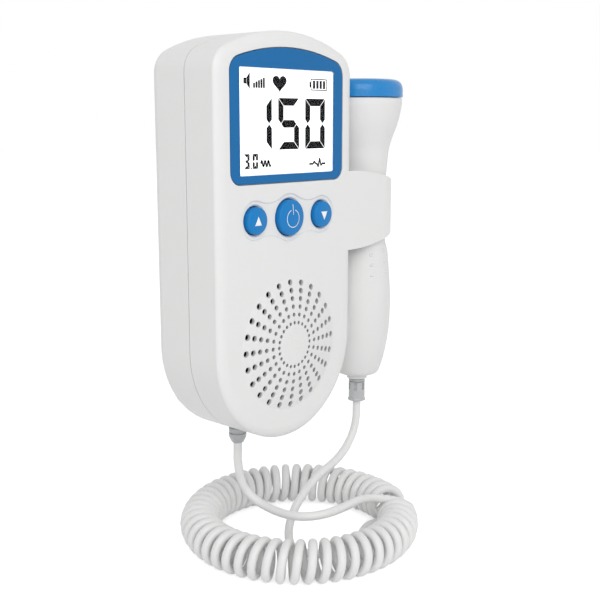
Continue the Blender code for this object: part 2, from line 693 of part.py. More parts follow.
def make_grille():
    """Domed grille: rings of holes that grow outwards, with a lip that seats behind the cover."""
    first_ring = GRILLE_FIRST_RING_SHARE * GRILLE_RADIUS
    ring_step = (GRILLE_LAST_RING_SHARE * GRILLE_RADIUS - first_ring) / (GRILLE_RINGS - 1)
    rings = [first_ring + ring_step * (number - 0.5) for number in range(GRILLE_RINGS)]
    outside = [(0, GRILLE_RISE)] + [(radius, dome_height(radius)) for radius in rings]
    inside = [(radius, height - GRILLE_THICKNESS) for radius, height in reversed(outside)]
    inner_radius = GRILLE_RADIUS - GRILLE_SKIRT
    lip_top = -CASE_WALL - FIT
    lip_low = lip_top - GRILLE_LIP_THICKNESS
    rim = [(GRILLE_RADIUS, 0), (GRILLE_RADIUS, lip_top), (LIP_RADIUS, lip_top), (LIP_RADIUS, lip_low),
           (inner_radius, lip_low), (inner_radius, dome_height(inner_radius) - GRILLE_THICKNESS)]
    grille = turned("speaker_grille", outside + rim + inside, (0, FRONT_Y, GRILLE_Z), SHELL_WHITE,
                    "front", GRILLE_SPOKES)
    cage = bmesh.new()
    for number in range(GRILLE_RINGS):
        ring = first_ring + ring_step * number
        share = number / (GRILLE_RINGS - 1)
        growth = (GRILLE_LARGE_HOLE_SHARE - GRILLE_SMALL_HOLE_SHARE) * share
        width = GRILLE_RADIUS * (GRILLE_SMALL_HOLE_SHARE + growth)
        low = dome_height(ring) - 2 * GRILLE_THICKNESS
        high = dome_height(ring) + OVERRUN
        for spoke in range(GRILLE_SPOKES):
            angle = 2 * pi * (spoke + 0.5) / GRILLE_SPOKES
            place = Vector((ring * cos(angle), -(low + high) / 2, ring * sin(angle)))
            turn = Matrix.Rotation(-angle, 4, "Y") @ Matrix.Rotation(pi / 2, 4, "X")
            bmesh.ops.create_cone(cage, cap_ends=True, segments=5, radius1=width / 2, radius2=width / 2,
                                  depth=high - low, matrix=Matrix.Translation(place) @ turn)
    mesh = bpy.data.meshes.new("grille_holes")
    cage.to_mesh(mesh)
    cage.free()
    holes = add_object("grille_holes", mesh)
    holes.location = (0, FRONT_Y, GRILLE_Z)
    cut(grille, holes)


def make_speaker():
    """Speaker behind the grille: basket, cone and magnet."""
    place = (0, SPEAKER_FRONT_Y, GRILLE_Z)
    floor = -SPEAKER_DEPTH
    mouth = LIP_RADIUS - 2 * SPEAKER_RIM
    basket = [(LIP_RADIUS, 0), (LIP_RADIUS, -SPEAKER_RIM), (mouth, -SPEAKER_RIM),
              (BASKET_FLOOR_RADIUS, floor), (0, floor), (0, floor + SPEAKER_WALL),
              (BASKET_FLOOR_RADIUS - SPEAKER_WALL, floor + SPEAKER_WALL),
              (mouth - SPEAKER_WALL, 0)]
    turned("speaker_frame", basket, place, DARK, "front", 20, True)
    slope_top = -SPEAKER_RIM / 2
    slope_share = (CONE_THICKNESS - slope_top) / (SPEAKER_DEPTH - SPEAKER_WALL)
    edge = mouth - SPEAKER_WALL - (mouth - BASKET_FLOOR_RADIUS) * slope_share - 2 * FIT
    deep = floor + SPEAKER_WALL + FIT
    cone = [(0, deep + CONE_CAP_RADIUS / 3), (CONE_CAP_RADIUS / 2, deep + CONE_CAP_RADIUS / 4),
            (CONE_CAP_RADIUS, deep + CONE_THICKNESS), (edge, slope_top),
            (edge, slope_top - CONE_THICKNESS), (CONE_CAP_RADIUS, deep), (0, deep)]
    turned("speaker_cone", cone, place, DARK, "front", 20)
    magnet_top = floor - FIT
    cylinder("speaker_magnet", MAGNET_RADIUS, magnet_top - MAGNET_THICKNESS, magnet_top, place, STEEL,
             steps=20)


def make_screen():
    """Blue bezel, clear window, display panel and the frame that holds it."""
    bezel = flat_solid("screen_bezel", bezel_outline(), FRONT_Y, BEZEL_BACK_Y, BEZEL_BLUE)
    cut(bezel, flat_solid("bezel_opening", window_outline(), FRONT_Y - OVERRUN, BEZEL_BACK_Y + OVERRUN))
    flat_solid("screen_window", window_outline(-FIT), FRONT_Y, BEZEL_BACK_Y, CLEAR)
    flat_solid("display_panel", window_outline(PANEL_BORDER), PANEL_FRONT_Y, PANEL_BACK_Y, DISPLAY)
    border = PANEL_BORDER + FIT
    frame = flat_solid("display_frame", window_outline(border + FRAME_WALL), FRAME_FRONT_Y,
                       FRAME_BACK_Y, INNER_WHITE)
    cut(frame, flat_solid("frame_pocket", window_outline(border), FRAME_FRONT_Y - OVERRUN,
                          PANEL_BACK_Y + FIT))


def make_board():
    """Main board behind the display, narrower where it carries the button switches."""
    wide = WINDOW_HALF + PANEL_BORDER + FIT + FRAME_WALL
    top = WINDOW_TOP_Z + PANEL_BORDER + FRAME_WALL
    step_z = WINDOW_BOTTOM_Z - PANEL_BORDER - BOARD_STEP
    neck = BOARD_NECK_WIDTH / 2
    outline = [(-neck, -BOARD_BELOW_BUTTONS), (neck, -BOARD_BELOW_BUTTONS), (neck, step_z),
               (wide, step_z), (wide, top), (-wide, top), (-wide, step_z), (-neck, step_z)]
    flat_solid("main_board", outline, BOARD_FRONT_Y, BOARD_BACK_Y, BOARD_GREEN)
    for name, x, _ in button_places():
        switch = block(name.replace("button", "switch"),
                       (x - SWITCH_SIZE / 2, SWITCH_BACK_Y - SWITCH_HEIGHT, -SWITCH_SIZE / 2),
                       (x + SWITCH_SIZE / 2, SWITCH_BACK_Y, SWITCH_SIZE / 2), DARK)
        join(switch, cylinder(f"{name}_plunger", PLUNGER_RADIUS, 0, PLUNGER_HEIGHT + SWITCH_HEIGHT / 2,
                              (x, SWITCH_BACK_Y - SWITCH_HEIGHT / 2, 0), steps=12))


def make_buttons():
    """Three domed push buttons, each with a flange that keeps it in and a stem to its switch."""
    for name, x, radius in button_places():
        flange = radius + BUTTON_FLANGE
        flange_top = -CASE_WALL - FIT
        flange_low = flange_top - BUTTON_FLANGE_THICKNESS
        stem_end = FRONT_Y - STEM_END_Y
        crown = BUTTON_PROUD + BUTTON_CROWN
        inner_edge = radius - BUTTON_EDGE
        profile = [(0, crown), (radius / 2, crown - BUTTON_CROWN / 4),
                   (inner_edge, BUTTON_PROUD + BUTTON_EDGE / 2), (radius, BUTTON_PROUD - BUTTON_EDGE / 2),
                   (radius, flange_top), (flange, flange_top), (flange, flange_low),
                   (BUTTON_STEM_RADIUS, flange_low), (BUTTON_STEM_RADIUS, stem_end), (0, stem_end)]
        turned(name, profile, (x, FRONT_Y, 0), BUTTON_BLUE, "front", 16)


def make_back_cover():
    """Back half of the case, with the battery bay, the screw posts and the cord's exit."""
    front = PARTING_Y + FIT
    cover = flat_solid("back_cover", case_outline(), front, 0, SHELL_WHITE)
    round_edges(cover, 0, BACK_FILLET, 3)
    cavity = flat_solid("back_cavity", case_outline(CASE_WALL), front - OVERRUN, INNER_BACK_Y)
    round_edges(cavity, INNER_BACK_Y, BACK_FILLET - CASE_WALL, 1)
    cut(cover, cavity)
    outer = BAY_HALF + BAY_OUTER
    bay = block("bay_walls", (-outer, BAY_FLOOR_Y - BAY_WALL, BAY_BOTTOM_Z - BAY_OUTER),
                (outer, INNER_BACK_Y + CASE_WALL / 2, BAY_TOP_Z + BAY_OUTER))
    join(cover, bay)
    for number, (x, z) in enumerate(SCREW_PLACES, 1):
        join(cover, cylinder(f"post_{number}", POST_RADIUS, -CASE_WALL / 2, INNER_BACK_Y - front,
                             (x, INNER_BACK_Y, z), steps=12))
    cut(cover, block("bay_hollow", (-BAY_HALF, BAY_FLOOR_Y, BAY_BOTTOM_Z),
                     (BAY_HALF, OVERRUN, BAY_TOP_Z)))
    seat = rounded_rectangle(-DOOR_HALF - FIT, DOOR_HALF + FIT, DOOR_BOTTOM_Z - FIT, DOOR_TOP_Z + FIT,
                             DOOR_BOTTOM_RADIUS, DOOR_TOP_RADIUS)
    cut(cover, flat_solid("door_seat", seat, DOOR_SEAT_Y, OVERRUN))
    notch = [(0, OVERRUN), (NOTCH_RADIUS, OVERRUN), (NOTCH_RADIUS / 2, -NOTCH_DEPTH), (0, -NOTCH_DEPTH)]
    cut(cover, turned("finger_notch", notch, (0, 0, DOOR_TOP_Z), None, "back", 16))
    for number, (x, z) in enumerate(SCREW_PLACES, 1):
        head_seat = front + POST_SEAT
        cut(cover, cylinder(f"counterbore_{number}", SCREW_HEAD_RADIUS + SCREW_HEAD_CLEARANCE,
                            -OVERRUN, -head_seat, (x, 0, z), steps=12))
        cut(cover, cylinder(f"screw_way_{number}", SCREW_RADIUS + FIT, -OVERRUN, -front + OVERRUN,
                            (x, 0, z), steps=8))
    cut(cover, cylinder("cord_exit", RELIEF_NECK_RADIUS + FIT, -CASE_WALL * 3, CASE_WALL * 3,
                        (UNIT_RELIEF_X, UNIT_RELIEF_Y, CASE_BOTTOM_Z + CASE_WALL / 2),
                        facing="up", steps=16))


def make_door():
    """Battery door with a sprung latch tongue, turning about its lower outer edge."""
    outline = rounded_rectangle(-DOOR_HALF, DOOR_HALF, DOOR_BOTTOM_Z, DOOR_TOP_Z, DOOR_BOTTOM_RADIUS,
                                DOOR_TOP_RADIUS)
    door = flat_solid("battery_door", outline, -DOOR_THICKNESS, 0, SHELL_WHITE)
    move_origin(door, (0, 0, DOOR_BOTTOM_Z))
    for side in (-1, 1):
        slot_x = side * LATCH_WIDTH / 2
        cut(door, block(f"latch_slot_{side}",
                        (slot_x - LATCH_SLOT / 2, -DOOR_THICKNESS - OVERRUN, DOOR_TOP_Z - LATCH_LENGTH),
                        (slot_x + LATCH_SLOT / 2, OVERRUN, DOOR_TOP_Z + OVERRUN)))
    for number in range(LATCH_RIBS):
        rib_z = DOOR_TOP_Z - LATCH_RIB * (2 * number + 2)
        cut(door, block(f"latch_groove_{number}",
                        (-LATCH_WIDTH / 2 + LATCH_SLOT, -LATCH_RIB_RISE, rib_z - LATCH_RIB / 2),
                        (LATCH_WIDTH / 2 - LATCH_SLOT, OVERRUN, rib_z + LATCH_RIB / 2)))


def make_cells():
    """Two cells side by side, one upside down, with their springs and contact plates."""
    spring_end = CONTACT_THICKNESS + 2 * FIT
    low = BAY_BOTTOM_Z + spring_end
    body = [(0, CELL_LENGTH), (CELL_NUB_RADIUS, CELL_LENGTH), (CELL_NUB_RADIUS, CELL_BODY_LENGTH),
            (CELL_RADIUS - CELL_EDGE, CELL_BODY_LENGTH), (CELL_RADIUS, CELL_BODY_LENGTH - CELL_EDGE),
            (CELL_RADIUS, CELL_EDGE), (CELL_RADIUS - CELL_EDGE, 0), (0, 0)]
    left_low = low + SPRING_LENGTH + FIT
    turned("cell_left", body, (-CELL_X, CELL_Y, left_low), STEEL, "up", 18)
    high = BAY_TOP_Z - spring_end
    right_high = high - SPRING_LENGTH - FIT
    flipped = turned("cell_right", body, (CELL_X, CELL_Y, right_high), STEEL, "up", 18)
    flipped.rotation_euler = (pi, 0, 0)
    make_spring("spring_left", (-CELL_X, CELL_Y, low), 1)
    make_spring("spring_right", (CELL_X, CELL_Y, high), -1)
    plate_low = BAY_BOTTOM_Z + FIT
    plate_high = BAY_TOP_Z - FIT - CONTACT_THICKNESS
    half_height = CONTACT_HEIGHT / 2
    for side, name in ((-1, "contact_left"), (1, "contact_right")):
        block(name, (side * CELL_X - CONTACT_WIDTH / 2, CELL_Y - half_height, plate_low),
              (side * CELL_X + CONTACT_WIDTH / 2, CELL_Y + half_height, plate_low + CONTACT_THICKNESS),
              STEEL)
    block("contact_bridge", (-CELL_X - CONTACT_WIDTH / 2, CELL_Y - half_height, plate_high),
          (CELL_X + CONTACT_WIDTH / 2, CELL_Y + half_height, plate_high + CONTACT_THICKNESS), STEEL)


def make_spring(name, base, direction):
    """A conical contact spring that stands on its plate."""
    points = []
    total = SPRING_TURNS * CURL_POINTS
    wire = SPRING_WIRE / 2
    for index in range(total + 1):
        share = index / total
        radius = SPRING_BASE_RADIUS + (SPRING_TIP_RADIUS - SPRING_BASE_RADIUS) * share
        angle = 2 * pi * index / CURL_POINTS
        height = wire + (SPRING_LENGTH - SPRING_WIRE) * share
        points.append((base[0] + radius * cos(angle), base[1] + radius * sin(angle),
                       base[2] + direction * height))
    make_tube(name, points, SPRING_WIRE, 0, STEEL)


def make_screws():
    """Four case screws, sunk in the back cover's posts."""
    seat = PARTING_Y + FIT + POST_SEAT + FIT
    for number, (x, z) in enumerate(SCREW_PLACES, 1):
        profile = [(0, SCREW_HEAD_HEIGHT), (SCREW_HEAD_RADIUS / 2, SCREW_HEAD_HEIGHT),
                   (SCREW_HEAD_RADIUS, SCREW_HEAD_HEIGHT / 2), (SCREW_HEAD_RADIUS, 0), (SCREW_RADIUS, 0),
                   (SCREW_RADIUS, SCREW_RADIUS - SCREW_LENGTH), (0, -SCREW_LENGTH)]
        turned(f"case_screw_{number}", profile, (x, seat, z), STEEL, "back", 10)


def blend(share):
    """Smooth rise from 0 to 1."""
    return share * share * (3 - 2 * share)


def probe_stations():
    """Heights where the probe's radius is set; between them it blends smoothly."""
    return ((BELLY_LOW_Z - FOOT_LENGTH, FOOT_RADIUS), (BELLY_LOW_Z, BELLY_RADIUS),
            (BELLY_HIGH_Z, BELLY_RADIUS), (WAIST_LOW_Z, WAIST_RADIUS), (WAIST_HIGH_Z, WAIST_RADIUS),
            (HEAD_LOW_Z, HEAD_RADIUS), (SHELL_TOP_Z, HEAD_RADIUS))


def probe_radius(height):
    """The probe's outer radius at a height."""
    stations = probe_stations()
    for (low, low_radius), (high, high_radius) in zip(stations, stations[1:]):
        if height <= high:
            share = min(max((height - low) / (high - low), 0), 1)
            return low_radius + (high_radius - low_radius) * blend(share)
    return stations[-1][1]


def probe_heights(count):
    """Heights down the shell, closer together where it curves."""
    curved = ((HEAD_LOW_Z, WAIST_HIGH_Z, count), (WAIST_LOW_Z, BELLY_HIGH_Z, count - 1),
              (BELLY_LOW_Z, PROBE_BOTTOM_Z + FOOT_EDGE, count))
    heights = [SHELL_TOP_Z]
    for high, low, steps in curved:
        heights += [high + (low - high) * step / steps for step in range(steps + 1)]
    return heights


def make_probe():
    """Probe: hollow turned shell with a boss for the cord, cap, crystals, their holder and a board."""
    axis = (PROBE_X, PROBE_Y, 0)
    outer = [(probe_radius(height), height) for height in probe_heights(5)]
    foot = probe_radius(PROBE_BOTTOM_Z) - FOOT_EDGE
    hole = RELIEF_NECK_RADIUS + FIT
    floor = PROBE_BOTTOM_Z + PROBE_WALL
    base = [(foot, PROBE_BOTTOM_Z), (PROBE_BOSS_RADIUS, PROBE_BOTTOM_Z),
            (PROBE_BOSS_RADIUS, PROBE_BOTTOM_Z - PROBE_BOSS_HEIGHT),
            (hole, PROBE_BOTTOM_Z - PROBE_BOSS_HEIGHT), (hole, floor)]
    inner = [(probe_radius(height) - PROBE_WALL, height) for height in reversed(probe_heights(2))]
    inner = [(foot - PROBE_WALL / 2, floor)] + inner[1:]
    turned("probe_shell", outer + base + inner, axis, SHELL_WHITE, "up", 24, True)
    make_probe_cap(axis)
    make_probe_inside(axis)


def make_probe_cap(axis):
    """Blue cap with a rounded top edge and a spigot inside the shell."""
    edge = [(CAP_RADIUS - CAP_EDGE + u, CAP_TOP_Z - CAP_EDGE + v)
            for u, v in reversed(arc(0, 0, CAP_EDGE, 0, 90, 4))]
    spigot = HEAD_RADIUS - PROBE_WALL - FIT
    hollow = spigot - CAP_WALL
    profile = [(0, CAP_TOP_Z)] + edge
    profile += [(CAP_RADIUS, CAP_BOTTOM_Z), (spigot, CAP_BOTTOM_Z), (spigot, CAP_BOTTOM_Z - CAP_SPIGOT),
                (hollow, CAP_BOTTOM_Z - CAP_SPIGOT), (hollow, CAP_TOP_Z - CAP_WALL),
                (0, CAP_TOP_Z - CAP_WALL)]
    turned("probe_cap", profile, axis, BUTTON_BLUE, "up", 24)


def make_probe_inside(axis):
    """The two half-disc crystals under the cap, the holder that carries them, and the board."""
    crystal_top = CAP_TOP_Z - CAP_WALL - FIT
    crystal_low = crystal_top - CRYSTAL_THICKNESS
    for side, name in ((-1, "crystal_left"), (1, "crystal_right")):
        crystal = cylinder(name, CRYSTAL_RADIUS, crystal_low, crystal_top, axis, CRYSTAL, "up", 24)
        inner = PROBE_X + side * CRYSTAL_SPLIT / 2
        away = PROBE_X - side * 2 * CRYSTAL_RADIUS
        cut(crystal, block(f"{name}_half",
                           (min(inner, away), PROBE_Y - 2 * CRYSTAL_RADIUS, crystal_low - OVERRUN),
                           (max(inner, away), PROBE_Y + 2 * CRYSTAL_RADIUS, crystal_top + OVERRUN)))
    holder_top = crystal_low - FIT
    holder_low = holder_top - HOLDER_THICKNESS
    stem_low = holder_low - HOLDER_STEM_LENGTH
    profile = [(0, holder_top), (HOLDER_RADIUS, holder_top), (HOLDER_RADIUS, holder_low),
               (HOLDER_STEM_RADIUS, holder_low), (HOLDER_STEM_RADIUS, stem_low), (0, stem_low)]
    turned("crystal_holder", profile, axis, INNER_WHITE, "up", 24)
    board_top = stem_low - FIT
    block("probe_board", (PROBE_X - PROBE_BOARD_WIDTH / 2, PROBE_Y - PROBE_BOARD_THICKNESS / 2,
                          board_top - PROBE_BOARD_LENGTH),
          (PROBE_X + PROBE_BOARD_WIDTH / 2, PROBE_Y + PROBE_BOARD_THICKNESS / 2, board_top), BOARD_GREEN)


def unit_exit_z():
    """Height of the case's outer surface on the far side of the unit's strain relief."""
    reach = abs(UNIT_RELIEF_X) - RELIEF_RADIUS
    return GRILLE_Z - sqrt((CASE_WIDTH / 2) ** 2 - reach ** 2)


def unit_flange_z():
    """Height at which the strain relief's inner flange clears the case's curved inner wall."""
    reach = abs(UNIT_RELIEF_X) + RELIEF_FLANGE_RADIUS
    return GRILLE_Z - sqrt((CASE_WIDTH / 2 - CASE_WALL) ** 2 - reach ** 2) + FIT


def make_reliefs():
    """Strain reliefs: a tapered one under the case, and a slotted collar under the probe."""
    flange = unit_flange_z()
    top = unit_exit_z() - FIT
    collar = top - UNIT_RELIEF_COLLAR
    tip = collar - UNIT_RELIEF_TAPER
    groove = RELIEF_GROOVE
    profile = [(0, flange + RELIEF_FLANGE_THICKNESS),
               (RELIEF_FLANGE_RADIUS, flange + RELIEF_FLANGE_THICKNESS), (RELIEF_FLANGE_RADIUS, flange),
               (RELIEF_NECK_RADIUS, flange), (RELIEF_NECK_RADIUS, top), (RELIEF_RADIUS, top),
               (RELIEF_RADIUS, collar + 2 * groove), (RELIEF_RADIUS - groove, collar + 2 * groove),
               (RELIEF_RADIUS - groove, collar + groove), (RELIEF_RADIUS, collar + groove),
               (RELIEF_RADIUS, collar), (RELIEF_TIP_RADIUS, tip), (0, tip)]
    turned("unit_relief", profile, (UNIT_RELIEF_X, UNIT_RELIEF_Y, 0), RELIEF_GREY, "up", 12)
    inside = PROBE_BOTTOM_Z + PROBE_WALL + FIT
    outside = PROBE_BOTTOM_Z - PROBE_BOSS_HEIGHT - FIT
    end = outside - PROBE_RELIEF_COLLAR
    lip = RELIEF_RADIUS + RELIEF_LIP
    profile = [(0, inside + RELIEF_FLANGE_THICKNESS),
               (RELIEF_FLANGE_RADIUS, inside + RELIEF_FLANGE_THICKNESS), (RELIEF_FLANGE_RADIUS, inside),
               (RELIEF_NECK_RADIUS, inside), (RELIEF_NECK_RADIUS, outside), (RELIEF_RADIUS, outside),
               (RELIEF_RADIUS, end + 2 * groove), (lip, end + groove), (lip, end), (0, end)]
    collar_part = turned("probe_relief", profile, (PROBE_X, PROBE_Y, 0), RELIEF_GREY, "up", 14)
    cage = bmesh.new()
    for number in range(RELIEF_SLOTS):
        turn = Matrix.Rotation(2 * pi * (number + 0.5) / RELIEF_SLOTS, 4, "Z")
        place = Matrix.Translation((RELIEF_RADIUS, 0, outside - RELIEF_SLOT_LENGTH))
        size = Matrix.Diagonal((2 * RELIEF_SLOT_DEPTH, RELIEF_SLOT_WIDTH, RELIEF_SLOT_LENGTH, 1))
        bmesh.ops.create_cube(cage, size=1, matrix=turn @ place @ size)
    mesh = bpy.data.meshes.new("relief_slots")
    cage.to_mesh(mesh)
    cage.free()
    slots = add_object("relief_slots", mesh)
    slots.location = (PROBE_X, PROBE_Y, 0)
    cut(collar_part, slots)
    return tip, end


def make_tube(name, points, diameter, resolution, finish):
    """A round tube along given points, with filled caps."""
    curve = bpy.data.curves.new(name, "CURVE")
    curve.dimensions = "3D"
    curve.bevel_depth = diameter / 2
    curve.bevel_resolution = resolution
    curve.use_fill_caps = True
    spline = curve.splines.new("POLY")
    spline.points.add(len(points) - 1)
    for target, point in zip(spline.points, points):
        target.co = (*point, 1)
    drawing = bpy.data.objects.new(name, curve)
    bpy.context.scene.collection.objects.link(drawing)
    mesh = mesh_of(drawing, False)
    return add_object(name, mesh, finish)


def smooth_route(route, spacing):
    """Points read at an even spacing from a smooth curve through a route's own points."""
    knots = [Vector(point) for point in route]
    knots = [2 * knots[0] - knots[1], *knots, 2 * knots[-1] - knots[-2]]
    fine = []
    for before, start, end, after in zip(knots, knots[1:], knots[2:], knots[3:]):
        for step in range(20):
            t = step / 20
            fine.append(((2 * start) + (end - before) * t + (2 * before - 5 * start + 4 * end - after)
                         * t ** 2 + (3 * start - before - 3 * end + after) * t ** 3) / 2)
    fine.append(knots[-2])
    lengths = [0.0]
    for start, end in zip(fine, fine[1:]):
        lengths.append(lengths[-1] + (end - start).length)
    count = max(2, round(lengths[-1] / spacing))
    points = []
    for index in range(count + 1):
        target = lengths[-1] * index / count
        place = next(number for number, reached in enumerate(lengths) if reached >= target - WELD)
        points.append(fine[place])
    return points


def curl_point(ring_angle, phase):
    """A point on the curls' centre line: round the ring, and round the ring's own section."""
    outwards = Vector((cos(ring_angle), sin(ring_angle), 0))
    centre = Vector((RING_X, RING_Y, RING_Z)) + outwards * RING_RADIUS
    return centre + outwards * CURL_RADIUS * cos(phase) + Vector((0, 0, CURL_RADIUS * sin(phase)))


def curl_path():
    """Centre line of the curls, from the top where the unit's tail arrives to the floor where the
    probe's tail leaves, with a straight end of one cord diameter at each side."""
    turns = CURL_COUNT + 0.5
    steps = int(turns * CURL_POINTS)
    sweep = radians(360 - RING_GAP)
    start = radians(RING_START)
    points = [curl_point(start - sweep * step / steps, pi / 2 - 2 * pi * turns * step / steps)
              for step in range(steps + 1)]
    lead_in = flat_direction(start)
    lead_out = -flat_direction(start - sweep)
    return [points[0] - lead_in * CORD_DIAMETER, *points, points[-1] + lead_out * CORD_DIAMETER]


def flat_direction(ring_angle):
    """The level direction straight out from the ring's middle."""
    return Vector((cos(ring_angle), sin(ring_angle), 0))


def make_cord(unit_tip, probe_end):
    """The curly cord: a ring of curls on the floor and a smooth tail to each strain relief."""
    curls = curl_path()
    make_tube("cord_curls", curls, CORD_DIAMETER, 1, CORD_WHITE)
    into_curls = (curls[1] - curls[0]).normalized()
    out_of_curls = (curls[-1] - curls[-2]).normalized()
    unit_top = Vector((UNIT_RELIEF_X, UNIT_RELIEF_Y, unit_tip - FIT))
    unit_tail = tail_points(unit_top, UNIT_ROUTE, curls[0] - into_curls * FIT, into_curls)
    make_tube("cord_tail_unit", unit_tail, CORD_DIAMETER, 2, CORD_WHITE)
    probe_top = Vector((PROBE_X, PROBE_Y, probe_end - FIT))
    probe_tail = tail_points(probe_top, PROBE_ROUTE, curls[-1] + out_of_curls * FIT, -out_of_curls)
    make_tube("cord_tail_probe", probe_tail, CORD_DIAMETER, 2, CORD_WHITE)


def tail_points(top, route, end, direction):
    """A smooth tail that leaves straight down and ends straight along a direction."""
    below = top - Vector((0, 0, CORD_DIAMETER))
    before = end - direction * CORD_DIAMETER
    return [top, *smooth_route([below, *route, before], TAIL_STEP), end]


def build():
    """Model every piece of the monitor."""
    make_front_cover()
    make_grille()
    make_speaker()
    make_screen()
    make_board()
    make_buttons()
    make_back_cover()
    make_door()
    make_cells()
    make_screws()
    make_probe()
    make_cord(*make_reliefs())


build()
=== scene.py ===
"""Looks of a fetal doppler monitor: case, screen, buttons, speaker dome, probe and curly cord.

Metres, +Z up, the front faces -Y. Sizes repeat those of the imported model, apart from forms that were
measured again after it: the case's front edge and seam, the cradle, the button recess, the dome's
wall and the turn of its holes, and the probe's outline.
"""
import logging
import math
from dataclasses import dataclass, field
from enum import Enum
from functools import cache
from typing import Iterable, Sequence

import bmesh
import bpy
import numpy as np
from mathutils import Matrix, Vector


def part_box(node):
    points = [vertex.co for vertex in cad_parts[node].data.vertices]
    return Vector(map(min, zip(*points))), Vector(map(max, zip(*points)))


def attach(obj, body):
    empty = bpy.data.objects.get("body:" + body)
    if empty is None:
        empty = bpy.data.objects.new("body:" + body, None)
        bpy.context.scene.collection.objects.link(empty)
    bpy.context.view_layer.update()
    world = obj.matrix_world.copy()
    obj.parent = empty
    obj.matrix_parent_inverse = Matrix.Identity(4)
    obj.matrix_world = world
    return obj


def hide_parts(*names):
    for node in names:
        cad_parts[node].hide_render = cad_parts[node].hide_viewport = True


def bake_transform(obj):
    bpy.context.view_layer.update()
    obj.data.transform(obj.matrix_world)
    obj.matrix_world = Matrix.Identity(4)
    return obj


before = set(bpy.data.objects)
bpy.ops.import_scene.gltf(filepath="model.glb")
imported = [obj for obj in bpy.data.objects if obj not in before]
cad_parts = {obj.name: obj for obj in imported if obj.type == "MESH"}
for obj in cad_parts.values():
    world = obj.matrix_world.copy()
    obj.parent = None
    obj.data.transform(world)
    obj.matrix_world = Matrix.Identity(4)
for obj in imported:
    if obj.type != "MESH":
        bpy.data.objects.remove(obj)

LOG = logging.getLogger("monitor")
Array = np.ndarray
Piece = bpy.types.Object

# Sizes and places that several pieces share
FIT = 0.0003
OVERRUN = 0.001
SAME_POINT = 1e-7
FRONT = -0.0310
WALL = 0.0022
PARTING = -0.0150
SEAM = -0.0170
GRILLE_Z = -0.0428
FLOOR_Z = -0.1211
BUTTON_PITCH = 0.0160
PROBE_AXIS = (0.0515, -0.0189)
CORD_EXIT = (-0.0045, -0.0097)
RELIEF_FLANGE = 0.0042
RELIEF_NECK = 0.0024
RELIEF_COLLAR = 0.00315


class Body(Enum):
    """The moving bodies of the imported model."""

    MONITOR = "monitor"
    PROBE = "probe"
    DOOR = "battery_door"
    UP = "up_button"
    POWER = "power_button"
    DOWN = "down_button"


class Slot(Enum):
    """The record's material slot names."""

    SHELL = "shell_white"
    BEZEL = "bezel_blue"
    BUTTON = "button_blue"
    DISPLAY = "display_glass"
    STEEL = "steel"
    CORD = "cord_white"
    RELIEF = "relief_grey"


class Facing(Enum):
    """Which way a turned piece's axis points."""

    UP = "up"
    FRONT = "front"
    BACK = "back"


# Curves and surfaces

def arc(centre: Sequence[float], radius: float, start: float, end: float, steps: int) -> Array:
    """Points on an arc: its centre plus the radius times the cosine and sine of even angles.

    Args:
        centre: The arc's centre in its own plane.
        radius: The arc's radius.
        start: First angle in degrees.
        end: Last angle in degrees.
        steps: How many chords the arc has.

    Returns:
        An array of steps + 1 points.
    """
    angles = np.radians(np.linspace(start, end, steps + 1))
    return np.column_stack([centre[0] + radius * np.cos(angles), centre[1] + radius * np.sin(angles)])


def moves_on(points: Array) -> Array:
    """Which points of a closed outline differ from the one before."""
    return np.linalg.norm(points - np.roll(points, 1, axis=0), axis=1) > SAME_POINT


def without_repeats(points: Array) -> Array:
    """A closed outline without points that repeat the one before."""
    return points[moves_on(points)]


def eased(profile: Sequence[Sequence[float]], radii: Sequence[float], steps: int = 5) -> Array:
    """An open profile with its corners rounded.

    Each corner is replaced by a quadratic curve that starts and ends the given length before and
    after the corner, and that the corner itself pulls outwards.

    Args:
        profile: Corner points.
        radii: Rounding length for each corner, the two ends included, 0 where it stays sharp.
        steps: Chords in each rounded corner.

    Returns:
        The rounded profile.
    """
    corners = np.asarray(profile, float)
    parts = [corners[:1]]
    share = np.linspace(0, 1, steps + 1)[:, None]
    for before, here, after, radius in zip(corners, corners[1:], corners[2:], radii[1:]):
        if radius == 0:
            parts.append(here[None])
            continue
        back = before - here
        onward = after - here
        start = here + back / np.linalg.norm(back) * radius
        end = here + onward / np.linalg.norm(onward) * radius
        parts.append(start * (1 - share) ** 2 + here * 2 * share * (1 - share) + end * share ** 2)
    parts.append(corners[-1:])
    return np.vstack(parts)


@dataclass(frozen=True)
class ArchedOutline:
    """Straight sides, an arched top, rounded shoulders and rounded lower corners."""

    half: float
    top: float
    bottom: float
    arch: float
    shoulder: float
    corner: float
    fineness: int = 20

    def every_point(self, inset: float) -> Array:
        """Arcs about fixed centres, each with its radius less the inset."""
        shoulder_x = self.half - self.shoulder
        arch_z = self.top - self.arch
        shoulder_z = arch_z + math.sqrt((self.arch - self.shoulder) ** 2 - shoulder_x ** 2)
        lean = math.degrees(math.atan2(shoulder_z - arch_z, shoulder_x))
        corner_x = self.half - self.corner
        corner_z = self.bottom + self.corner
        fine = self.fineness
        return np.vstack([
            arc((-corner_x, corner_z), self.corner - inset, 180, 270, fine),
            arc((corner_x, corner_z), self.corner - inset, 270, 360, fine),
            arc((shoulder_x, shoulder_z), self.shoulder - inset, 0, lean, fine // 2),
            arc((0, arch_z), self.arch - inset, lean, 180 - lean, fine * 2),
            arc((-shoulder_x, shoulder_z), self.shoulder - inset, 180 - lean, 180, fine // 2)])

    def points(self, inset: float = 0.0) -> Array:
        """The outline drawn in by an inset, with the same number of points for every inset."""
        return self.every_point(inset)[moves_on(self.every_point(0.0))]


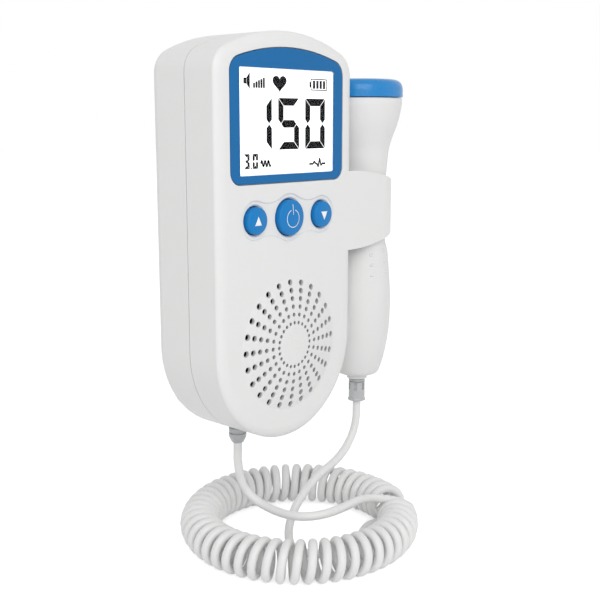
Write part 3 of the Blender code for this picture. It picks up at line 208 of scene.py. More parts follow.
def rounded_rectangle(left: float, right: float, low: float, high: float, low_radius: float,
                      high_radius: float, steps: int = 8) -> Array:
    """A rectangle whose corners are quarter circles, the lower and upper ones of their own radius."""
    return without_repeats(np.vstack([
        arc((left + low_radius, low + low_radius), low_radius, 180, 270, steps),
        arc((right - low_radius, low + low_radius), low_radius, 270, 360, steps),
        arc((right - high_radius, high - high_radius), high_radius, 0, 90, steps),
        arc((left + high_radius, high - high_radius), high_radius, 90, 180, steps)]))


def grid_quads(rows: int, columns: int, around: bool) -> Array:
    """Corner numbers of the quads of a grid, wrapped round its columns where asked."""
    row = np.arange(rows - 1)[:, None]
    column = np.arange(columns if around else columns - 1)[None]
    following = (column + 1) % columns
    corners = [row * columns + column, row * columns + following,
               (row + 1) * columns + following, (row + 1) * columns + column]
    return np.stack(np.broadcast_arrays(*corners), -1).reshape(-1, 4)


def add_surface(name: str, points: Array, quads: Array, caps: Iterable[Sequence[int]] = (),
                weld: float = SAME_POINT, outwards: bool = True) -> Piece:
    """Put worked-out points and faces into a new mesh object at the origin.

    Args:
        name: The object's name.
        points: Vertex places, one row each.
        quads: Corner numbers, four to a row.
        caps: Further faces of any length.
        weld: Points closer than this become one.
        outwards: Whether to turn the faces of a closed solid outwards.

    Returns:
        The new object.
    """
    mesh = bpy.data.meshes.new(name)
    mesh.from_pydata(points.tolist(), [], quads.tolist() + [list(cap) for cap in caps])
    cage = bmesh.new()
    cage.from_mesh(mesh)
    bmesh.ops.remove_doubles(cage, verts=cage.verts, dist=weld)
    bmesh.ops.dissolve_degenerate(cage, edges=cage.edges, dist=weld)
    if outwards:
        bmesh.ops.recalc_face_normals(cage, faces=cage.faces)
    cage.to_mesh(mesh)
    cage.free()
    made = bpy.data.objects.new(name, mesh)
    bpy.context.scene.collection.objects.link(made)
    return made


class Patchwork:
    """Separate grids of points gathered into one piece."""

    def __init__(self) -> None:
        """Start with no grid."""
        self.points: list[Array] = []
        self.quads: list[Array] = []
        self.count = 0

    def add(self, points: Array, rows: int, columns: int, around: bool = False) -> None:
        """Take in a grid of points, given row by row."""
        self.points.append(points)
        self.quads.append(grid_quads(rows, columns, around) + self.count)
        self.count += rows * columns

    def surface(self, name: str, weld: float = SAME_POINT, outwards: bool = True) -> Piece:
        """All the grids as one mesh object."""
        return add_surface(name, np.vstack(self.points), np.vstack(self.quads), weld=weld,
                           outwards=outwards)


def lofted(name: str, rings: Sequence[Array]) -> Piece:
    """A closed solid through outlines of equal count, its two ends filled flat."""
    count = len(rings[0])
    points = np.vstack(rings)
    quads = grid_quads(len(rings), count, True)
    last = len(points) - count
    return add_surface(name, points, quads, (range(count - 1, -1, -1), range(last, last + count)))


def upright(outline: Array, depth: float) -> Array:
    """An outline in the front's plane, put at a depth."""
    return np.column_stack([outline[:, 0], np.full(len(outline), depth), outline[:, 1]])


def prism(name: str, outline: Array, start: float, end: float) -> Piece:
    """A flat solid between two depths."""
    return lofted(name, [upright(outline, start), upright(outline, end)])


def on_axis(radius: Array, height: Array, angle: Array, place: Sequence[float],
            facing: Facing) -> Array:
    """Points given by radius, height and angle about an axis through a place."""
    across = radius * np.cos(angle)
    along = radius * np.sin(angle)
    if facing is Facing.UP:
        parts = (across, along, height + 0 * angle)
    elif facing is Facing.FRONT:
        parts = (across, -height + 0 * angle, along)
    else:
        parts = (across, height + 0 * angle, -along)
    return np.stack(parts, -1).reshape(-1, 3) + np.asarray(place, float)


def turned(name: str, profile: Array, place: Sequence[float], facing: Facing = Facing.UP,
           steps: int = 64, closed: bool = False) -> Piece:
    """A surface of revolution: each profile point (radius, height) swept round the axis.

    Args:
        name: The object's name.
        profile: Radii and heights, from one pole or rim to the other.
        place: A point on the axis, from which heights are counted.
        facing: Which way the axis points.
        steps: Columns round the axis.
        closed: Whether the profile is a ring that never meets the axis.

    Returns:
        The closed solid.
    """
    line = np.asarray(profile, float)
    if closed:
        line = np.vstack([line, line[:1]])
    angle = np.linspace(0, 2 * np.pi, steps, endpoint=False)[None]
    points = on_axis(line[:, :1], line[:, 1:], angle, place, facing)
    return add_surface(name, points, grid_quads(len(line), steps, True))


def box(name: str, low: Sequence[float], high: Sequence[float]) -> Piece:
    """A plain block between two corners, used only to carve with."""
    outline = np.array([(low[0], low[2]), (high[0], low[2]), (high[0], high[2]), (low[0], high[2])])
    return prism(name, outline, low[1], high[1])


def rod(name: str, radius: float, start: float, end: float, place: Sequence[float],
        facing: Facing, steps: int = 40) -> Piece:
    """A plain cylinder between two heights on an axis, used only to join and carve with."""
    return turned(name, [(0, start), (radius, start), (radius, end), (0, end)], place, facing, steps)


def carve(target: Piece, joins: Sequence[Piece] = (), cuts: Sequence[Piece] = (),
          keeps: Sequence[Piece] = ()) -> None:
    """Join, trim and cut a solid with others, then remove those.

    Args:
        target: The solid that changes.
        joins: Solids that it grows by, first.
        cuts: Solids taken away from it, last.
        keeps: Solids that it is trimmed to, in between.
    """
    plan = [(tool, "UNION") for tool in joins] + [(tool, "INTERSECT") for tool in keeps]
    plan += [(tool, "DIFFERENCE") for tool in cuts]
    for tool, operation in plan:
        change = target.modifiers.new(operation.title(), "BOOLEAN")
        change.operation = operation
        change.solver = "EXACT"
        change.object = tool
    freeze(target)
    for tool, _ in plan:
        bpy.data.objects.remove(tool, do_unlink=True)


def freeze(target: Piece) -> None:
    """Apply a piece's modifiers to its mesh."""
    bpy.context.view_layer.update()
    graph = bpy.context.evaluated_depsgraph_get()
    made = bpy.data.meshes.new_from_object(target.evaluated_get(graph))
    target.modifiers.clear()
    old = target.data
    target.data = made
    bpy.data.meshes.remove(old)
    made.name = target.name


def soften(target: Piece, width: float, angle: float = 35, segments: int = 2) -> None:
    """Round a solid's sharp edges."""
    edge = target.modifiers.new("Soft edges", "BEVEL")
    edge.width = width
    edge.segments = segments
    edge.limit_method = "ANGLE"
    edge.angle_limit = math.radians(angle)
    edge.use_clamp_overlap = True
    freeze(target)


def smooth(target: Piece, angle: float = 32) -> None:
    """Shade a piece smooth, with edges sharper than an angle kept crisp and flats kept flat."""
    target.data.shade_smooth()
    target.data.set_sharp_from_angle(angle=math.radians(angle))
    weighted = target.modifiers.new("Flat stays flat", "WEIGHTED_NORMAL")
    weighted.keep_sharp = True


def thicken(target: Piece, thickness: float, offset: float) -> None:
    """Give a sheet its thickness and shade it smooth."""
    skin = target.modifiers.new("Thickness", "SOLIDIFY")
    skin.thickness = thickness
    skin.offset = offset
    freeze(target)
    target.data.shade_smooth()


def tube(name: str, path: Array, diameter: float, around: int = 16) -> Piece:
    """A round tube: a circle carried along a path without twisting.

    The circle's first direction at each point is the one before it, less its part along the path.

    Args:
        name: The object's name.
        path: Centre line points.
        diameter: The tube's diameter.
        around: Points in each circle.

    Returns:
        The closed tube.
    """
    tangent = np.gradient(path, axis=0)
    tangent /= np.linalg.norm(tangent, axis=1)[:, None]
    first = np.zeros_like(path)
    askew = (0.3, 0.9, 0.2)
    side = np.cross(tangent[0], askew)
    for index, along in enumerate(tangent):
        side = side - along * side.dot(along)
        side /= np.linalg.norm(side)
        first[index] = side
    second = np.cross(tangent, first)
    angle = np.linspace(0, 2 * np.pi, around, endpoint=False)[None, :, None]
    ring = first[:, None] * np.cos(angle) + second[:, None] * np.sin(angle)
    rings = path[:, None] + ring * diameter / 2
    return lofted(name, list(rings))


# Materials

class Graph:
    """A short way to add and join nodes in a shader tree."""

    def __init__(self, tree: bpy.types.NodeTree) -> None:
        """Keep the tree that nodes are added to."""
        self.tree = tree

    def add(self, kind: str, settings: dict | None = None, **inputs: object) -> bpy.types.Node:
        """Add a node, set its properties, and set or link its inputs.

        Args:
            kind: The node type's name without its prefix.
            settings: Properties of the node.
            **inputs: Values or sockets by input name, with spaces written as underscores.

        Returns:
            The new node.
        """
        node = self.tree.nodes.new(kind if kind.startswith("NodeGroup") else "ShaderNode" + kind)
        for name, value in (settings or {}).items():
            setattr(node, name, value)
        self.feed_all(node, **inputs)
        return node

    def feed_all(self, node: bpy.types.Node, **inputs: object) -> None:
        """Set or link a node's inputs by name, with spaces written as underscores."""
        for name, value in inputs.items():
            self.feed(node.inputs[name.replace("_", " ")], value)

    def feed(self, socket: bpy.types.NodeSocket, value: object) -> None:
        """Link a socket to an input, or set its plain value."""
        if isinstance(value, bpy.types.NodeSocket):
            self.tree.links.new(value, socket)
        else:
            socket.default_value = value

    def maths(self, operation: str, first: object, second: object = 0.0) -> bpy.types.NodeSocket:
        """The result of a two-value sum."""
        node = self.add("Math", {"operation": operation})
        self.feed(node.inputs[0], first)
        self.feed(node.inputs[1], second)
        return node.outputs[0]

    def mixed(self, share: object, first: object, second: object,
              way: str = "MIX") -> bpy.types.NodeSocket:
        """One colour mixed with another."""
        node = self.add("Mix", {"data_type": "RGBA", "blend_type": way})
        self.feed(node.inputs[0], share)
        self.feed(node.inputs[6], first)
        self.feed(node.inputs[7], second)
        return node.outputs[2]


def new_group(name: str, inputs: dict[str, tuple[str, object]], outputs: dict[str, str]) -> Graph:
    """An empty shader group with named sockets.

    Args:
        name: The group's name.
        inputs: Each input's kind and first value.
        outputs: Each output's kind.

    Returns:
        A graph on the group's tree.
    """
    tree = bpy.data.node_groups.new(name, "ShaderNodeTree")
    for title, (kind, value) in inputs.items():
        socket = tree.interface.new_socket(title, in_out="INPUT", socket_type="NodeSocket" + kind)
        socket.default_value = value
    for title, kind in outputs.items():
        tree.interface.new_socket(title, in_out="OUTPUT", socket_type="NodeSocket" + kind)
    return Graph(tree)


class Effects:
    """Effects that several finishes share, each a group that is built once."""

    @staticmethod
    @cache
    def moulding() -> bpy.types.NodeTree:
        """Fine moulded grain: tiny bumps, faint cloudiness in the colour, uneven gloss."""
        graph = new_group("moulding", {
            "Colour": ("Color", (0.8, 0.8, 0.8, 1)), "Roughness": ("Float", 0.4),
            "Grain Scale": ("Float", 2500.0), "Grain Depth": ("Float", 0.1),
            "Cloudiness": ("Float", 0.03)},
            {"Colour": "Color", "Roughness": "Float", "Normal": "Vector"})
        given = graph.add("NodeGroupInput").outputs
        place = graph.add("TexCoord").outputs["Object"]
        grain = graph.add("TexNoise", Vector=place, Scale=given["Grain Scale"], Detail=3.0)
        cloud = graph.add("TexNoise", Vector=place, Scale=70.0, Detail=4.0)
        streak = graph.add("TexNoise", Vector=place, Scale=430.0, Detail=2.0)
        shift = graph.maths("SUBTRACT", cloud.outputs["Fac"], 0.5)
        shade = graph.maths("ADD", graph.maths("MULTIPLY", shift, given["Cloudiness"]), 1.0)
        tint = graph.mixed(1.0, given["Colour"], shade, "MULTIPLY")
        uneven = graph.maths("SUBTRACT", streak.outputs["Fac"], 0.5)
        gloss = graph.maths("ADD", given["Roughness"], graph.maths("MULTIPLY", uneven, 0.12))
        bump = graph.add("Bump", Strength=given["Grain Depth"], Distance=0.00012,
                         Height=grain.outputs["Fac"])
        graph.add("NodeGroupOutput", Colour=tint, Roughness=gloss, Normal=bump.outputs["Normal"])
        return graph.tree

    @staticmethod
    @cache
    def handling() -> bpy.types.NodeTree:
        """Faint smudges that dull a gloss in soft patches."""
        graph = new_group("handling", {"Roughness": ("Float", 0.2), "Smudge": ("Float", 0.1),
                                       "Patch Scale": ("Float", 120.0)}, {"Roughness": "Float"})
        given = graph.add("NodeGroupInput").outputs
        place = graph.add("TexCoord").outputs["Object"]
        patch = graph.add("TexNoise", Vector=place, Scale=given["Patch Scale"], Detail=5.0,
                          Distortion=0.6)
        strength = graph.add("MapRange", {"clamp": True}, Value=patch.outputs["Fac"],
                             From_Min=0.45, From_Max=0.75, To_Min=0.0, To_Max=1.0)
        added = graph.maths("MULTIPLY", strength.outputs["Result"], given["Smudge"])
        graph.add("NodeGroupOutput", Roughness=graph.maths("ADD", given["Roughness"], added))
        return graph.tree

    @staticmethod
    @cache
    def drawn_metal() -> bpy.types.NodeTree:
        """Long fine scratches along one axis of a metal, in its height and gloss."""
        graph = new_group("drawn_metal", {
            "Colour": ("Color", (0.6, 0.6, 0.6, 1)), "Roughness": ("Float", 0.3),
            "Stretch": ("Vector", (1.0, 1.0, 0.05)), "Line Scale": ("Float", 3500.0)},
            {"Colour": "Color", "Roughness": "Float", "Normal": "Vector"})
        given = graph.add("NodeGroupInput").outputs
        place = graph.add("TexCoord").outputs["Object"]
        pulled = graph.add("VectorMath", {"operation": "MULTIPLY"})
        graph.feed(pulled.inputs[0], place)
        graph.feed(pulled.inputs[1], given["Stretch"])
        lines = graph.add("TexNoise", Vector=pulled.outputs[0], Scale=given["Line Scale"], Detail=4.0)
        stain = graph.add("TexNoise", Vector=place, Scale=260.0, Detail=3.0)
        dull = graph.add("MapRange", {"clamp": True}, Value=stain.outputs["Fac"], From_Min=0.4,
                         From_Max=0.7, To_Min=1.0, To_Max=0.88)
        tint = graph.mixed(1.0, given["Colour"], dull.outputs["Result"], "MULTIPLY")
        gloss = graph.maths("ADD", given["Roughness"],
                            graph.maths("MULTIPLY", lines.outputs["Fac"], 0.15))
        bump = graph.add("Bump", Strength=0.12, Distance=0.00005, Height=lines.outputs["Fac"])
        graph.add("NodeGroupOutput", Colour=tint, Roughness=gloss, Normal=bump.outputs["Normal"])
        return graph.tree


def new_material(name: str) -> tuple[bpy.types.Material, Graph, bpy.types.Node]:
    """A material, a graph on its tree, and its shader."""
    made = bpy.data.materials.new(name)
    made.use_nodes = True
    return made, Graph(made.node_tree), made.node_tree.nodes["Principled BSDF"]


def use_group(graph: Graph, tree: bpy.types.NodeTree, **inputs: object) -> bpy.types.Node:
    """Place a shared effect in a material with its own values."""
    node = graph.tree.nodes.new("ShaderNodeGroup")
    node.node_tree = tree
    graph.feed_all(node, **inputs)
    return node


@dataclass(frozen=True)
class Finish:
    """A finish of the object, which becomes a material the first time that it is used."""

    name: str

    def fill(self, graph: Graph, shader: bpy.types.Node) -> None:
        """Set the shader to the finish."""
        raise NotImplementedError

    def material(self) -> bpy.types.Material:
        """The finish as a material, made once."""
        if self.name in bpy.data.materials:
            return bpy.data.materials[self.name]
        made, graph, shader = new_material(self.name)
        self.fill(graph, shader)
        return made


@dataclass(frozen=True)
class Moulded(Finish):
    """A moulded plastic: its colour, gloss, grain and any clear top layer."""

    colour: tuple[float, float, float]
    roughness: float = 0.42
    grain_scale: float = 2500.0
    grain_depth: float = 0.12
    cloudiness: float = 0.03
    coat: float = 0.0
    smudge: float = 0.0
    depth_of_light: float = 0.0
    specular: float = 0.5
    # Painted shade: how far ambient occlusion darkens the colour in holes.
    painted_hole_shade: float = 0.0

    def fill(self, graph: Graph, shader: bpy.types.Node) -> None:
        """Grain, then smudges, painted shade in holes and light that enters the plastic where given."""
        skin = use_group(graph, Effects.moulding(), Colour=(*self.colour, 1),
                         Roughness=self.roughness, Grain_Scale=self.grain_scale,
                         Grain_Depth=self.grain_depth, Cloudiness=self.cloudiness)
        gloss = skin.outputs["Roughness"]
        if self.smudge:
            gloss = use_group(graph, Effects.handling(), Roughness=gloss,
                              Smudge=self.smudge).outputs["Roughness"]
        colour = skin.outputs["Colour"]
        # Painted shade: ambient occlusion darkens the base colour inside holes and other hollows.
        if self.painted_hole_shade:
            hidden = graph.add("AmbientOcclusion", {"samples": 8, "only_local": True}, Distance=0.002)
            shade = graph.add("MapRange", {"clamp": True}, Value=hidden.outputs["AO"], From_Min=0.25,
                              From_Max=0.85, To_Min=1.0 - self.painted_hole_shade, To_Max=1.0)
            colour = graph.mixed(1.0, colour, shade.outputs["Result"], "MULTIPLY")
        graph.feed_all(shader, Base_Color=colour, Roughness=gloss, Normal=skin.outputs["Normal"],
                       Specular_IOR_Level=self.specular, Coat_Weight=self.coat,
                       Coat_Roughness=0.12)
        if self.depth_of_light:
            graph.feed_all(shader, Subsurface_Weight=self.depth_of_light, Subsurface_Scale=0.001,
                           Subsurface_Radius=(1.0, 0.9, 0.8))


@dataclass(frozen=True)
class Metal(Finish):
    """A plated or drawn metal."""

    colour: tuple[float, float, float]
    roughness: float = 0.28
    stretch: tuple[float, float, float] = (1.0, 1.0, 0.05)

    def fill(self, graph: Graph, shader: bpy.types.Node) -> None:
        """Fine scratches drawn along the metal."""
        skin = use_group(graph, Effects.drawn_metal(), Colour=(*self.colour, 1),
                         Roughness=self.roughness, Stretch=self.stretch).outputs
        graph.feed_all(shader, Metallic=1.0, Base_Color=skin["Colour"],
                       Roughness=skin["Roughness"], Normal=skin["Normal"])


@dataclass(frozen=True)
class ClearPlastic(Finish):
    """The clear window over the display, with a low index so that it hardly mirrors the studio."""

    name: str = "clear_acrylic"
    smudge: float = 0.04

    def fill(self, graph: Graph, shader: bpy.types.Node) -> None:
        """Clear acrylic with the faintest smudges in its gloss."""
        gloss = use_group(graph, Effects.handling(), Roughness=0.01, Smudge=self.smudge)
        graph.feed_all(shader, Roughness=gloss.outputs["Roughness"],
                       Base_Color=(0.99, 0.99, 1.0, 1), Transmission_Weight=1.0, IOR=1.12,
                       Specular_IOR_Level=0.1)


@dataclass(frozen=True)
class LitDisplay(Finish):
    """The display's pale face with a glow: partly its backlight, partly painted light that stands in for
    lamp light the clear window keeps from it.
    """

    name: str = "lit_display"
    colour: tuple[float, float, float] = (0.86, 0.88, 0.88)
    glow: float = 0.62

    def fill(self, graph: Graph, shader: bpy.types.Node) -> None:
        """A pale face with an almost even glow, partly backlight and partly painted light."""
        place = graph.add("TexCoord").outputs["Object"]
        cloud = graph.add("TexNoise", Vector=place, Scale=40.0, Detail=2.0)
        bright = graph.add("MapRange", {"clamp": True}, Value=cloud.outputs["Fac"], From_Min=0.3,
                           From_Max=0.7, To_Min=0.97, To_Max=1.0)
        tint = graph.mixed(1.0, (*self.colour, 1), bright.outputs["Result"], "MULTIPLY")
        glow = graph.mixed(1.0, (1.0, 1.0, 1.0, 1), bright.outputs["Result"], "MULTIPLY")
        # Partly painted light: the emission also makes up for lamp light that the window keeps from the
        # face.
        graph.feed_all(shader, Base_Color=tint, Emission_Color=glow, Emission_Strength=self.glow,
                       Roughness=0.25)


@dataclass(frozen=True)
class CircuitBoard(Finish):
    """Green solder mask with traces that show through it."""

    name: str = "solder_mask"
    mask: tuple[float, float, float] = (0.012, 0.12, 0.045)
    trace: tuple[float, float, float] = (0.03, 0.24, 0.08)

    def fill(self, graph: Graph, shader: bpy.types.Node) -> None:
        """A mask over a square pattern of traces, which also stand up a little."""
        place = graph.add("TexCoord").outputs["Object"]
        lanes = graph.add("TexBrick", Vector=place, Scale=160.0, Mortar_Size=0.03)
        shade = graph.mixed(lanes.outputs["Fac"], (*self.mask, 1), (*self.trace, 1))
        bump = graph.add("Bump", Strength=0.3, Distance=0.00004, Height=lanes.outputs["Fac"])
        graph.feed_all(shader, Base_Color=shade, Normal=bump.outputs["Normal"], Roughness=0.35)


@dataclass(frozen=True)
class CellWrap(Finish):
    """A plain cell's sleeve: dark over most of it, with a coppery band at its plus end."""

    band_low: float
    band_high: float
    sleeve: tuple[float, float, float] = (0.03, 0.03, 0.035)
    band: tuple[float, float, float] = (0.55, 0.27, 0.08)

    def fill(self, graph: Graph, shader: bpy.types.Node) -> None:
        """A sleeve whose colour changes where the height passes into the band."""
        place = graph.add("TexCoord").outputs["Object"]
        height = graph.add("SeparateXYZ", Vector=place).outputs["Z"]
        above = graph.maths("GREATER_THAN", height, self.band_low)
        below = graph.maths("LESS_THAN", height, self.band_high)
        inside = graph.maths("MULTIPLY", above, below)
        shade = graph.mixed(inside, (*self.sleeve, 1), (*self.band, 1))
        skin = use_group(graph, Effects.moulding(), Colour=shade, Roughness=0.25, Grain_Scale=900.0,
                         Grain_Depth=0.05, Cloudiness=0.05).outputs
        graph.feed_all(shader, Base_Color=skin["Colour"], Roughness=skin["Roughness"],
                       Normal=skin["Normal"], Coat_Weight=0.4)


class Finishes:
    """The object's finishes."""

    SHELL = Moulded("satin_white_shell", (0.775, 0.775, 0.770), 0.40, 2600.0, 0.10, 0.015)
    # The dome's holes get painted shade from ambient occlusion.
    DOME = Moulded("grained_white_dome", (0.770, 0.770, 0.765), 0.55, 1500.0, 0.45, 0.05,
                   painted_hole_shade=0.6)
    PROBE = Moulded("satin_white_probe", (0.755, 0.755, 0.750), 0.45, 1900.0, 0.20, 0.03)
    BEZEL = Moulded("printed_blue", (0.0066, 0.139, 0.374), 0.45, 3000.0, 0.03, 0.03, specular=0.2)
    BUTTON = Moulded("moulded_blue", (0.008, 0.197, 0.519), 0.38, 2800.0, 0.06, 0.03, smudge=0.05,
                     specular=0.22)
    CAP = Moulded("moulded_blue_cap", (0.010, 0.222, 0.560), 0.26, 2800.0, 0.05, 0.03, 0.10, 0.05,
                  specular=0.35)
    PRINT = Moulded("white_print", (0.88, 0.90, 0.92), 0.45, 4000.0, 0.05, 0.02)
    FIGURE = Moulded("display_black", (0.010, 0.010, 0.011), 0.60, 4000.0, 0.02, 0.05, specular=0.0)
    INNER = Moulded("plain_white_moulding", (0.72, 0.72, 0.70), 0.55, 1800.0, 0.15, 0.03)
    DARK = Moulded("black_moulding", (0.022, 0.022, 0.024), 0.50, 1800.0, 0.15, 0.10)
    CONE = Moulded("black_paper", (0.018, 0.018, 0.018), 0.80, 1100.0, 0.60, 0.20)
    CORD = Moulded("soft_white_jacket", (0.80, 0.80, 0.795), 0.42, 1400.0, 0.10, 0.03, 0.05, 0.0,
                   0.10)
    COLLAR = Moulded("grey_collar", (0.46, 0.47, 0.48), 0.32, 2200.0, 0.08, 0.05, 0.25)
    CRYSTAL = Moulded("ceramic", (0.52, 0.45, 0.33), 0.40, 3000.0, 0.20, 0.08)
    NICKEL = Metal("nickel_plate", (0.66, 0.65, 0.62), 0.22)
    ZINC = Metal("zinc_screw", (0.58, 0.58, 0.60), 0.30, (1.0, 0.1, 1.0))
    WINDOW = ClearPlastic()
    DISPLAY = LitDisplay()
    BOARD = CircuitBoard()


def settle(piece: Piece, body: Body, finish: bpy.types.Material,
           replaces: Sequence[str] = ()) -> Piece:
    """Give a finished piece its material, its body and the solids that it stands for.

    Args:
        piece: The finished mesh object.
        body: The body that it rides on.
        finish: Its material.
        replaces: Names of the solids that it stands for.

    Returns:
        The same piece.
    """
    piece.data.materials.clear()
    piece.data.materials.append(finish)
    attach(piece, body.value)
    if replaces:
        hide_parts(*replaces)
    LOG.info("%s on %s, %d faces", piece.name, body.value, len(piece.data.polygons))
    return piece


def dress(finish: bpy.types.Material, *nodes: str) -> None:
    """Give kept solids their material."""
    for name in nodes:
        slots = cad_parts[name].data.materials
        slots.clear()
        slots.append(finish)


# Studio

@dataclass
class Studio:
    """The camera at the photograph's angle, a white floor and soft lamps."""

    eye: tuple[float, float, float] = (-0.23605, -0.24845, 0.03125)
    yaw: float = 47.95
    pitch: float = -10.42
    lens: float = 58.34
    world_level: float = 0.62
    floor_glow: float = 0.55
    floor_reach: float = 4.0
    aim: tuple[float, float, float] = (0.01, -0.02, -0.02)
    lamps: tuple[tuple[str, tuple[float, float, float], float, float], ...] = (
        ("key", (-0.45, -0.60, 0.40), 0.6, 3.15), ("fill", (0.75, -0.80, 0.25), 0.9, 0.5))

    def camera(self) -> None:
        """A camera that looks along the fitted direction."""
        data = bpy.data.cameras.new("camera")
        data.lens = self.lens
        data.sensor_width = 36.0
        data.clip_start = 0.01
        data.clip_end = 20.0
        made = bpy.data.objects.new("camera", data)
        bpy.context.scene.collection.objects.link(made)
        yaw = math.radians(self.yaw)
        pitch = math.radians(self.pitch)
        ahead = Vector((math.sin(yaw) * math.cos(pitch), math.cos(yaw) * math.cos(pitch),
                        math.sin(pitch)))
        made.location = self.eye
        made.rotation_mode = "QUATERNION"
        made.rotation_quaternion = ahead.to_track_quat("-Z", "Y")
        bpy.context.scene.camera = made

    def lamp(self, name: str, place: Sequence[float], size: float, power: float) -> None:
        """A square area lamp that faces the object."""
        data = bpy.data.lights.new(name, "AREA")
        data.size = size
        data.energy = power
        made = bpy.data.objects.new(name, data)
        bpy.context.scene.collection.objects.link(made)
        made.location = place
        made.rotation_mode = "QUATERNION"
        towards = Vector(self.aim) - Vector(place)
        made.rotation_quaternion = towards.to_track_quat("-Z", "Y")

    def seen_directly(self, graph: Graph) -> bpy.types.NodeSocket:
        """1 for camera, glossy and transmission rays."""
        rays = graph.add("LightPath").outputs
        both = graph.maths("MAXIMUM", rays["Is Camera Ray"], rays["Is Glossy Ray"])
        return graph.maths("MAXIMUM", both, rays["Is Transmission Ray"])

    def world(self) -> None:
        """White where it is seen, softer where it lights."""
        world = bpy.data.worlds.new("studio")
        bpy.context.scene.world = world
        world.use_nodes = True
        graph = Graph(world.node_tree)
        shown = self.seen_directly(graph)
        level = graph.add("MapRange", Value=shown, To_Min=self.world_level, To_Max=1.0)
        graph.feed(world.node_tree.nodes["Background"].inputs["Strength"], level.outputs["Result"])
        world.node_tree.nodes["Background"].inputs["Color"].default_value = (1, 1, 1, 1)

    def floor(self) -> None:
        """A wide pale floor that keeps the object's shadow."""
        reach = self.floor_reach
        corners = np.array([(-reach, -reach), (reach, -reach), (reach, reach), (-reach, reach)])
        points = np.column_stack([corners, np.full(4, FLOOR_Z)])
        floor = add_surface("floor", points, np.array([[0, 1, 2, 3]]), outwards=False)
        made, graph, shader = new_material("pale_floor")
        glow = graph.add("MapRange", Value=self.seen_directly(graph), To_Min=0.0,
                         To_Max=self.floor_glow)
        graph.feed_all(shader, Base_Color=(0.90, 0.90, 0.90, 1), Roughness=0.9,
                       Specular_IOR_Level=0.0, Emission_Color=(1, 1, 1, 1),
                       Emission_Strength=glow.outputs["Result"])
        floor.data.materials.append(made)

    def build(self) -> None:
        """Set up the view, the light and the floor."""
        self.camera()
        self.world()
        self.floor()
        for name, place, size, power in self.lamps:
            self.lamp(name, place, size, power)
        bpy.context.scene.view_settings.view_transform = "Standard"


# The object

